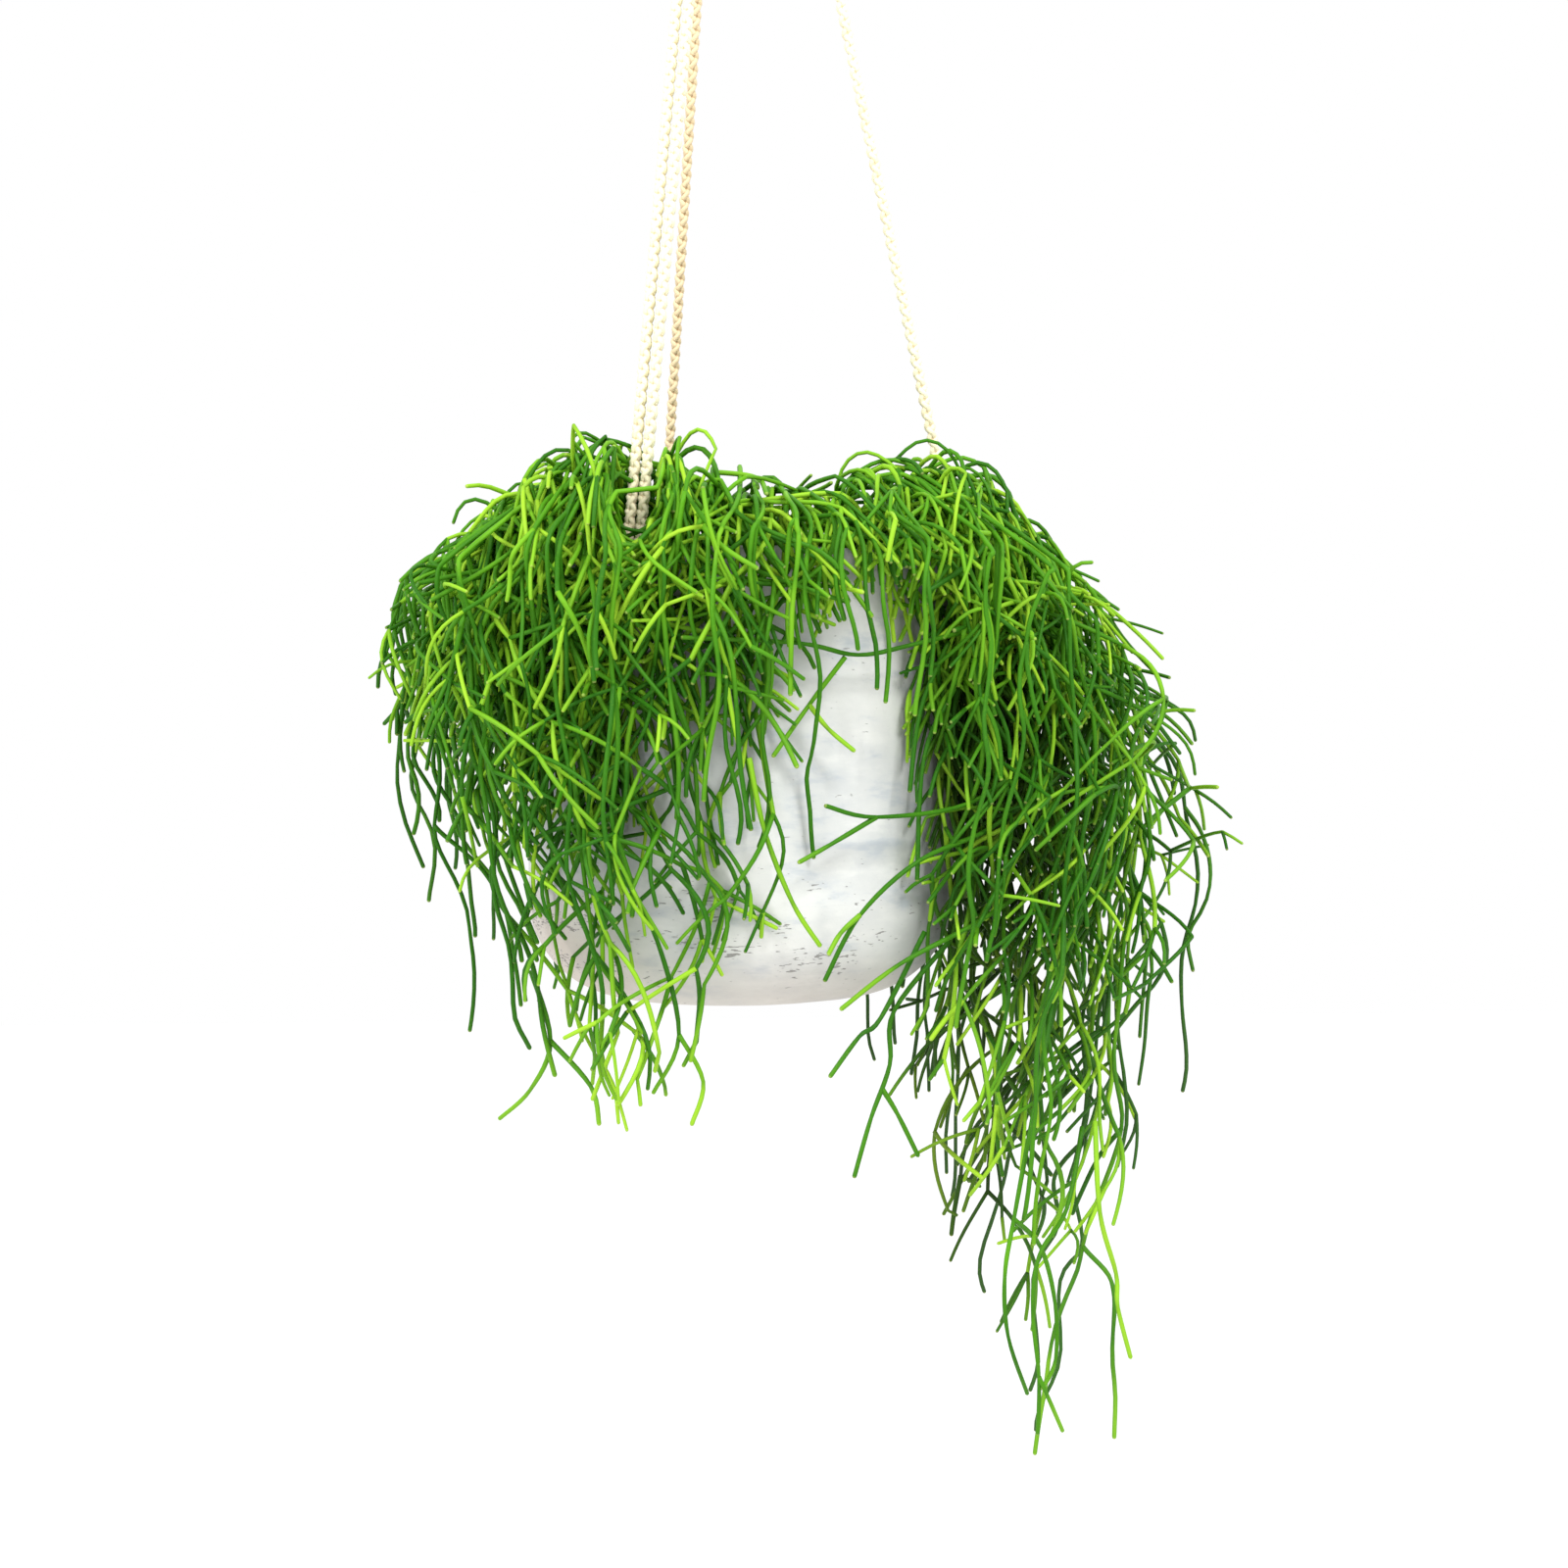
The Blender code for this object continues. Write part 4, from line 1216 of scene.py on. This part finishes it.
def pot_profile():
    """The pot's outline from the middle of its foot, up its outside, over the rim and down its inside."""
    base = RIM_Z - POT_HEIGHT
    foot_start = POT_RADIUS - FOOT_ROUND
    under = [(foot_start * k / UNDER_RINGS, base) for k in range(UNDER_RINGS)]
    foot = arc(foot_start, base + FOOT_ROUND, FOOT_ROUND, -90, 0, FOOT_RINGS)
    wall_low = base + FOOT_ROUND
    wall_high = RIM_Z - RIM_ROUND
    heights = [wall_low + (wall_high - wall_low) * k / WALL_RINGS for k in range(1, WALL_RINGS)]
    side = [(outer_radius(z), z) for z in heights]
    rim_outer = outer_radius(RIM_Z)
    rim_inner = rim_outer - WALL
    lip = arc(rim_outer - RIM_ROUND, RIM_Z - RIM_ROUND, RIM_ROUND, 0, 90, LIP_RINGS)
    lip += arc(rim_inner + RIM_ROUND, RIM_Z - RIM_ROUND, RIM_ROUND, 90, 180, LIP_RINGS)
    round_in = FOOT_ROUND - WALL
    inside = [(rim_inner, RIM_Z - INSIDE_STEP * k) for k in range(1, INSIDE_RINGS + 1)]
    foot_in = arc(rim_inner - round_in, base + FLOOR + round_in, round_in, 0, -90, FOOT_IN_RINGS)
    return under + foot + side + lip + inside + foot_in + [(0.0, base + FLOOR)]


def hole_cutter(azimuth, half_width):
    """A round-ended bar through the wall, for one rope hole."""
    bm = bmesh.new()
    bmesh.ops.create_circle(bm, cap_ends=True, cap_tris=False, segments=HOLE_SIDES, radius=HOLE_RADIUS)
    for vert in bm.verts:
        if abs(vert.co.x) > SAME:
            vert.co.x += math.copysign(half_width, vert.co.x)
    made = bmesh.ops.extrude_face_region(bm, geom=bm.faces[:])
    moved = [item for item in made["geom"] if isinstance(item, bmesh.types.BMVert)]
    bmesh.ops.translate(bm, verts=moved, vec=(0, 0, 5 * WALL))
    place = Matrix.Translation(polar(azimuth, POT_RADIUS - 3 * WALL, RIM_Z - HOLE_DROP))
    place @= Matrix.Rotation(math.radians(azimuth), 4, "Z") @ Matrix.Rotation(math.radians(90), 4, "X")
    bmesh.ops.transform(bm, matrix=place, verts=bm.verts)
    cutter = bpy.data.objects.new("hole_cutter", settled(bm, "hole_cutter"))
    bpy.context.scene.collection.objects.link(cutter)
    return cutter


def cut_holes(mesh):
    """Cut the rope holes into the pot's mesh."""
    holder = bpy.data.objects.new("pot_holder", mesh)
    bpy.context.scene.collection.objects.link(holder)
    cutters = [hole_cutter(*hole) for hole in HOLES.values()]
    for cutter in cutters:
        modifier = holder.modifiers.new("hole", "BOOLEAN")
        modifier.operation = "DIFFERENCE"
        modifier.solver = "MANIFOLD"
        modifier.object = cutter
    graph = bpy.context.evaluated_depsgraph_get()
    made = bpy.data.meshes.new_from_object(holder.evaluated_get(graph))
    for used in [holder, *cutters]:
        bpy.data.objects.remove(used, do_unlink=True)
    return made


def pot_finish(pot):
    """Whitewashed clay: brushed white, soft bluish clouds, a beige bloom low down and rows of small pores
    with painted shade in them, and painted shadow of the stems on the upper left and on the right side.
    """
    finish = Finish("whitewashed_clay", Roughness=0.85, Specular_IOR_Level=0.25)
    place = finish.place()
    height = finish.along(place, "Z")
    aside = finish.along(place, "X")
    brushed = finish.noise(finish.place((1, 1, 3.2), (0, 0.35, 0)), 34.0, 5.0, 0.6)
    clouds = finish.noise(place, 24.0, 4.0, 0.55)
    patches = finish.noise(place, 9.0, 2.0)
    specks = finish.noise(place, 800.0, 2.0)
    pores = finish.noise(finish.place((1, 1, 4.5)), 270.0, 2.0, 0.45)
    groups = finish.noise(finish.place((1, 1, 2.2)), 42.0, 2.0)
    base = RIM_Z - POT_HEIGHT
    band = height.between(base + 0.004, base + 0.022) * (1 - height.between(base + 0.040, base + 0.075))
    left = 1 - aside.between(-0.03, 0.09) * 0.6
    gate = band * left * groups.between(0.40, 0.66) * 0.20
    pit = (pores + gate).between(0.735, 0.775)
    edge = (pores + gate).between(0.700, 0.735) * (1 - pit)
    low = 1 - height.between(base, base + 0.085)
    soft = finish.mix(patches.between(0.35, 0.65) * 0.6, pot.light_colour, pot.grey_colour)
    colour = finish.mix(clouds.between(0.48, 0.70) * 0.85, soft, pot.grey_colour)
    colour = finish.mix(brushed.between(0.52, 0.30) * 0.6, colour, pot.light_colour)
    colour = finish.mix(brushed.between(0.52, 0.72) * 0.7, colour, pot.blue_and_shadow_colour)
    # Painted shadow of the stems above, on the upper left of the pot
    shaded = (1 - aside.between(-0.06, 0.03)) * height.between(base + 0.04, base + 0.12)
    colour = finish.mix(shaded * (clouds + 0.3) * 0.6, colour, pot.blue_and_shadow_colour)
    far_left = 1 - aside.between(-0.10, -0.02)
    beige = (low * (clouds + 0.2) * (far_left + 0.40)).between(0.08, 0.80)
    colour = finish.mix(beige * 0.8, colour, pot.beige_colour)
    colour = finish.mix((1 - height.between(base, base + 0.030)) * 0.45, colour, pot.beige_colour)
    colour = finish.mix(specks.between(0.62, 0.8) * 0.25, colour, pot.grey_colour)
    # Painted shadow of the long trailing stems on the pot's right side
    colour = finish.mix(aside.between(0.060, 0.100) * 0.75, colour, pot.tail_shadow_colour)
    colour = finish.mix(edge * 0.35, colour, pot.grey_colour)
    # Painted shade inside the pores, within their grey rim
    colour = finish.mix(pit * 0.70, colour, pot.pore_shade_colour)
    relief = brushed * 0.5 + specks * 0.15 - pit * 1.2
    return finish.wear(colour, 0.78 + specks * 0.15, relief, 0.0008, 0.55)


def soil_finish(pot):
    """Dark potting mix with paler crumbs."""
    finish = Finish("dark_soil", Roughness=0.95)
    place = finish.place()
    crumbs = finish.noise(place, 320.0, 4.0, 0.7)
    bark = finish.add("ShaderNodeTexVoronoi", None, {"Vector": place, "Scale": 210.0})
    colour = finish.mix(crumbs.between(0.4, 0.7), pot.soil_colour, pot.crumb_colour)
    colour = finish.mix(bark.between(0.0, 0.35) * 0.5, pot.soil_colour, colour)
    return finish.wear(colour, 0.9 + crumbs * 0.08, crumbs + bark * 0.4, 0.002, 0.8)


# Settings


def size(name, description, default, **more):
    """A length in metres."""
    return bpy.props.FloatProperty(
        name=name, description=description, default=default, unit="LENGTH", precision=4, **more
    )


def colour(name, description, default):
    """A colour."""
    return bpy.props.FloatVectorProperty(
        name=name, description=description, default=default, subtype="COLOR", size=3, min=0.0, max=1.0
    )


class PlantSettings(bpy.types.PropertyGroup):
    """Size and colours of the plant."""

    fill: bpy.props.IntProperty(
        name="Fine stems", description="Fine stems that start in the soil of an even sector", default=5
    )
    main_radius: size("Main stem radius", "Radius of the main stems", 0.00112)
    # Painted shade deep inside the mass, where old stems are darker too
    inner_shade_colour: colour("Shaded inner stems", "Painted shade deep inside the mass, where old stems are darker too", (0.016, 0.020, 0.005))
    deep_colour: colour("Old stems", "Colour of old stems", (0.022, 0.120, 0.005))
    mid_colour: colour("Stems", "Colour of most stems", (0.118, 0.388, 0.010))
    # Painted shade on stems at the back and low down
    shaded_stem_colour: colour("Shaded stems", "Painted shade on stems at the back and low down", (0.038, 0.090, 0.024))
    young_colour: colour("Young stems", "Colour of young stems", (0.290, 0.520, 0.026))
    tip_colour: colour("Tips", "Colour of the very tips", (0.440, 0.470, 0.140))


class PotSettings(bpy.types.PropertyGroup):
    """Colours of the pot and its soil."""

    light_colour: colour("Clay", "Whitewashed clay", (0.690, 0.690, 0.660))
    grey_colour: colour("Grey clay", "Soft grey clouds and brush marks", (0.500, 0.515, 0.515))
    # Cool brush marks, and painted shadow of the stems on the upper left
    blue_and_shadow_colour: colour("Bluish clay and shadow", "Cool brush marks and painted shadow on the upper left", (0.400, 0.440, 0.485))
    beige_colour: colour("Beige clay", "Bare clay low on the pot", (0.500, 0.430, 0.370))
    # Painted shade inside the pores
    pore_shade_colour: colour("Pores", "Painted shade inside the pores", (0.150, 0.140, 0.130))
    # Painted shadow of the long stems on the pot's right side
    tail_shadow_colour: colour("Shadowed clay", "Painted shadow of the long stems on the right side", (0.200, 0.205, 0.200))
    soil_colour: colour("Soil", "Dark potting mix", (0.030, 0.020, 0.014))
    crumb_colour: colour("Crumbs", "Paler crumbs", (0.110, 0.075, 0.045))
    undulation: size("Undulation", "How uneven the hand-made wall is", 0.0005)


class RopeSettings(bpy.types.PropertyGroup):
    """Colours of the rope."""

    light_colour: colour("Yarn", "Pale yarn", (0.880, 0.820, 0.580))
    # Painted shade on the strand at the back
    back_shaded_colour: colour("Shaded back yarn", "Painted shade on the yarn of the strand at the back", (0.700, 0.560, 0.350))
    # Tan for fibres, stains and more of it lower down the rope
    tan_colour: colour("Tan yarn", "Tan fibres and stains", (0.640, 0.500, 0.290))
    # Painted brown shade between the yarns
    yarn_shade_colour: colour("Shade between yarns", "Painted brown shade between the yarns", (0.300, 0.180, 0.075))


class StageSettings(bpy.types.PropertyGroup):
    """Camera and light."""

    eye: bpy.props.FloatVectorProperty(
        name="Eye", description="Camera's place", default=EYE, subtype="TRANSLATION", size=3, precision=4
    )
    roll: bpy.props.FloatProperty(
        name="Roll", description="Camera's roll", default=math.radians(0.5), subtype="ANGLE"
    )
    lens: bpy.props.FloatProperty(name="Lens", description="Focal length in millimetres", default=43.76)
    sky: bpy.props.FloatProperty(name="Surround", description="Brightness of the surround", default=1.0)
    key: bpy.props.FloatProperty(name="Key light", description="Its power in watts", default=20.0)
    floor_drop: size("Floor", "Floor's distance below the hook", 1.5)


# Operators


class STAGE_OT_rhipsalis(bpy.types.Operator):
    """Set the camera, the lights, the white surround and the floor"""

    bl_idname = "rhipsalis.stage"
    bl_label = "Stage"

    def execute(self, context):
        stage = context.scene.rhipsalis_stage
        data = bpy.data.cameras.new("camera")
        data.lens = stage.lens
        data.clip_start = 0.01
        camera = bpy.data.objects.new("camera", data)
        level = Matrix.Rotation(math.radians(90), 4, "X") @ Matrix.Rotation(-stage.roll, 4, "Z")
        camera.matrix_world = Matrix.Translation(stage.eye) @ level
        context.scene.collection.objects.link(camera)
        context.scene.camera = camera
        for name, (place, width, share) in LAMPS.items():
            self.lamp(context, name, place, width, share * stage.key)
        world = bpy.data.worlds.new("white_surround")
        world.use_nodes = True
        world.node_tree.nodes["Background"].inputs["Color"].default_value = (1, 1, 1, 1)
        world.node_tree.nodes["Background"].inputs["Strength"].default_value = stage.sky
        context.scene.world = world
        context.scene.view_settings.view_transform = "Standard"
        bm = bmesh.new()
        bmesh.ops.create_grid(bm, x_segments=1, y_segments=1, size=FLOOR_SIZE)
        bmesh.ops.translate(bm, verts=bm.verts, vec=(0, 0, -stage.floor_drop))
        mesh = bpy.data.meshes.new("floor")
        bm.to_mesh(mesh)
        bm.free()
        finish = Finish("pale_floor", Roughness=0.9, Emission_Strength=FLOOR_GLOW * stage.sky)
        finish.put(finish.shader.inputs["Base Color"], (0.8, 0.8, 0.8))
        finish.put(finish.shader.inputs["Emission Color"], (1.0, 1.0, 1.0))
        mesh.materials.append(finish.material)
        floor = bpy.data.objects.new("floor", mesh)
        context.scene.collection.objects.link(floor)
        return {"FINISHED"}

    def lamp(self, context, name, place, width, power):
        """An area light that looks at the pot."""
        data = bpy.data.lights.new(name, "AREA")
        data.size = width
        data.energy = power
        lamp = bpy.data.objects.new(name, data)
        aim = Vector(LAMP_AIM) - Vector(place)
        lamp.matrix_world = Matrix.Translation(place) @ aim.to_track_quat("-Z", "Y").to_matrix().to_4x4()
        context.scene.collection.objects.link(lamp)


class ROPES_OT_rhipsalis(bpy.types.Operator):
    """Braid the four strands, their knots, and the whipped collar with its loop"""

    bl_idname = "rhipsalis.ropes"
    bl_label = "Ropes"

    def execute(self, context):
        rope = context.scene.rhipsalis_rope
        finish = rope_finish("rope_cord", rope, rope.light_colour, 0.60)
        # A darker copy of the cord with more shade between its yarns: painted shade on the strand at the back
        back_shaded = rope_finish("rope_cord_back_shaded", rope, rope.back_shaded_colour, 0.9)
        for index, (name, (azimuth, aside)) in enumerate(STRANDS.items()):
            route = strand_route(azimuth, aside)
            yarns = tubes(name + "_braid", braid(route, BRAID_PHASE * index))
            piece = show(name + "_braid", yarns, back_shaded if azimuth == BACK else finish, name)
        inner = outer_radius(RIM_Z) - WALL
        for name, (azimuth, half_width) in HOLES.items():
            centre = polar(azimuth, inner - KNOT_GAP - KNOT_RADIUS, RIM_Z - HOLE_DROP)
            chains = braid(self.knot_route(centre, azimuth, half_width))
            show(name + "_tied", tubes(name + "_tied", chains), finish, name)
        self.top_loop(finish)
        return {"FINISHED"}

    def knot_route(self, centre, azimuth, half_width):
        """A tied knot's centreline: three lobes wound about its middle, wider for two strands."""
        turn = Matrix.Rotation(math.radians(azimuth), 3, "Z")
        mean, change, depth = KNOT_COIL
        route = []
        for k in range(KNOT_POINTS + 1):
            t = 2 * math.pi * k / KNOT_POINTS
            ring = mean + change * math.cos(3 * t)
            spot = Vector((ring * math.cos(2 * t), depth * math.sin(3 * t), ring * math.sin(2 * t)))
            spot.x *= 1 + half_width / KNOT_WIDTH
            route.append(centre + turn @ spot)
        return route

    def top_loop(self, finish):
        """The collar's whipping and the loop above it."""
        reach = EYE_HALF + ROPE / 2
        arch_z = ROPE / 2 - reach
        heights = (COLLAR_TOP - LOOP_SINK, COLLAR_TOP + LOOP_SINK)
        legs = [Vector((aside, 0, z)) for aside, z in zip(LOOP_FEET, heights)]
        arch = [Vector((x, 0, z)) for x, z in arc(0, arch_z, reach, *LOOP_TURNS, LOOP_POINTS)]
        route = legs + arch + [Vector((-spot.x, 0, spot.z)) for spot in reversed(legs)]
        chains = braid(smoothed(route, LOOP_PARTS)[0])
        steps = WRAP_POINTS * WRAP_TURNS
        ring = COLLAR_RADIUS - WRAP_RADIUS
        winding = []
        for k in range(steps + 1):
            t = 2 * math.pi * k / WRAP_POINTS
            z = COLLAR_BOTTOM + WRAP_RADIUS + (COLLAR_TOP - COLLAR_BOTTOM - 2 * WRAP_RADIUS) * k / steps
            winding.append((ring * math.cos(t), ring * math.sin(t), z))
        # The whipping gets little painted shade, and its core much
        chains.append(yarn(winding, WRAP_RADIUS, 0.12))
        heights = (COLLAR_BOTTOM, COLLAR_BOTTOM + CORE_ROUND, COLLAR_TOP - CORE_ROUND, COLLAR_TOP)
        radii = np.array([ring - CORE_ROUND, ring, ring, ring - CORE_ROUND])
        chains.append(yarn([(0, 0, z) for z in heights], radii, 0.9))
        show("top_loop_braid", tubes("top_loop_braid", chains), finish, "top_loop")


class POT_OT_rhipsalis(bpy.types.Operator):
    """Turn the pot and fill it with soil"""

    bl_idname = "rhipsalis.pot"
    bl_label = "Pot and soil"

    def execute(self, context):
        pot = context.scene.rhipsalis_pot
        self.pot(pot)
        self.soil(pot)
        return {"FINISHED"}

    def pot(self, pot):
        """The hand-made pot, uneven outside, where its wall only ever gives way inward."""
        bm = turned(pot_profile(), POT_SIDES)
        inner = outer_radius(RIM_Z) - WALL + LIP_STILL
        floor = RIM_Z - POT_HEIGHT + FLOOR - EDGE
        low = RIM_Z - POT_HEIGHT + FOOT_ROUND
        for vert in bm.verts:
            radius = from_axis(vert.co)
            if radius < EDGE or (radius < inner and vert.co.z > floor):
                continue
            wave = sum(share * noise.noise(vert.co * scale) for scale, share in UNEVEN)
            outward = Vector((vert.co.x, vert.co.y, 0)) / radius
            if vert.co.z < low:
                centre = outward * (POT_RADIUS - FOOT_ROUND) + Vector((0, 0, low))
                outward = (vert.co - centre).normalized()
            vert.co += outward * min(0.0, wave) * pot.undulation
        mesh = cut_holes(settled(bm, "pot_clay"))
        mesh.name = "pot_clay"
        show("pot_clay", mesh, pot_finish(pot), "pot")

    def soil(self, pot):
        """The soil, crumbly on top."""
        base = RIM_Z - POT_HEIGHT + FLOOR + SOIL_GAP
        side = outer_radius(RIM_Z) - WALL - SOIL_GAP
        round_in = FOOT_ROUND - WALL
        top = RIM_Z - SOIL_DROP
        foot = arc(side - round_in, base + round_in, round_in, -90, 0, SOIL_FOOT_RINGS)
        rings = [(side * (1 - k / SOIL_RINGS), top) for k in range(SOIL_RINGS)]
        bm = turned([(0.0, base)] + foot + rings + [(0.0, top)], SOIL_SIDES)
        for vert in bm.verts:
            if vert.co.z > top - EDGE:
                waves = math.sin(95 * vert.co.x + 1.3) * math.cos(80 * vert.co.y - 0.4)
                waves += 0.6 * math.sin(210 * vert.co.x - 170 * vert.co.y)
                grain = sum(noise.noise(vert.co * scale) * height for scale, height in SOIL_GRAIN)
                vert.co.z = top + SOIL_BUMP * waves + grain
        show("soil_mix", settled(bm, "soil_mix"), soil_finish(pot), "soil")


class STEMS_OT_rhipsalis(bpy.types.Operator):
    """Grow every spray: its main stems as in the frame, and the fine stems that fill it out"""

    bl_idname = "rhipsalis.stems"
    bl_label = "Stems"

    def execute(self, context):
        plant = context.scene.rhipsalis_plant
        finish = stem_finish(plant)
        for name, seed, azimuth, wedge, crown in spray_places():
            rng = random.Random(MAIN_SEED + seed)
            root, stems = grow_spray(seed, azimuth, wedge, crown)
            chains = []
            for k, stem in enumerate(stems):
                fine, joints = smoothed(stem, MAIN_PARTS)
                fine = [waved(spot, root, seed) for spot in fine]
                tint = rng.uniform(*MAIN_TINT)
                age = MAIN_AGE if k < STEMS else SHOOT_AGE
                chains.append(stem_chain(fine, joints, plant.main_radius, tint, age, rng))
            share = CROWN_SHARE if crown else eased(FILL_HABIT, azimuth)[3]
            count = round(plant.fill * share)
            chains += fill_stems(FILL_SEED + seed, wedge[0], wedge[1], count, crown)
            if name == STRAY_SPRAY:
                chains += stray_stems()
            show(name + "_stems", tubes(name + "_stems", chains), finish, name)
        return {"FINISHED"}


class VIEW3D_PT_rhipsalis(bpy.types.Panel):
    """The pieces of the hanging plant"""

    bl_label = "Hanging rhipsalis"
    bl_space_type = "VIEW_3D"
    bl_region_type = "UI"
    bl_category = "Rhipsalis"

    def draw(self, context):
        for made in OPERATORS:
            self.layout.operator(made.bl_idname)
        for name in SETTINGS:
            group = getattr(context.scene, name)
            for key in group.bl_rna.properties.keys():
                if key not in ("rna_type", "name"):
                    self.layout.prop(group, key)


SETTINGS = {
    "rhipsalis_plant": PlantSettings,
    "rhipsalis_pot": PotSettings,
    "rhipsalis_rope": RopeSettings,
    "rhipsalis_stage": StageSettings,
}
OPERATORS = (STAGE_OT_rhipsalis, ROPES_OT_rhipsalis, POT_OT_rhipsalis, STEMS_OT_rhipsalis)


def register():
    """Add the classes and their settings."""
    for made in (*SETTINGS.values(), *OPERATORS, VIEW3D_PT_rhipsalis):
        bpy.utils.register_class(made)
    for name, made in SETTINGS.items():
        setattr(bpy.types.Scene, name, bpy.props.PointerProperty(type=made))


def unregister():
    """Take them away again."""
    for name in SETTINGS:
        delattr(bpy.types.Scene, name)
    for made in (VIEW3D_PT_rhipsalis, *OPERATORS, *SETTINGS.values()):
        bpy.utils.unregister_class(made)


def main():
    """Build every piece."""
    register()
    bpy.ops.rhipsalis.stage()
    bpy.ops.rhipsalis.ropes()
    bpy.ops.rhipsalis.pot()
    bpy.ops.rhipsalis.stems()


if __name__ == "__main__":
    main()
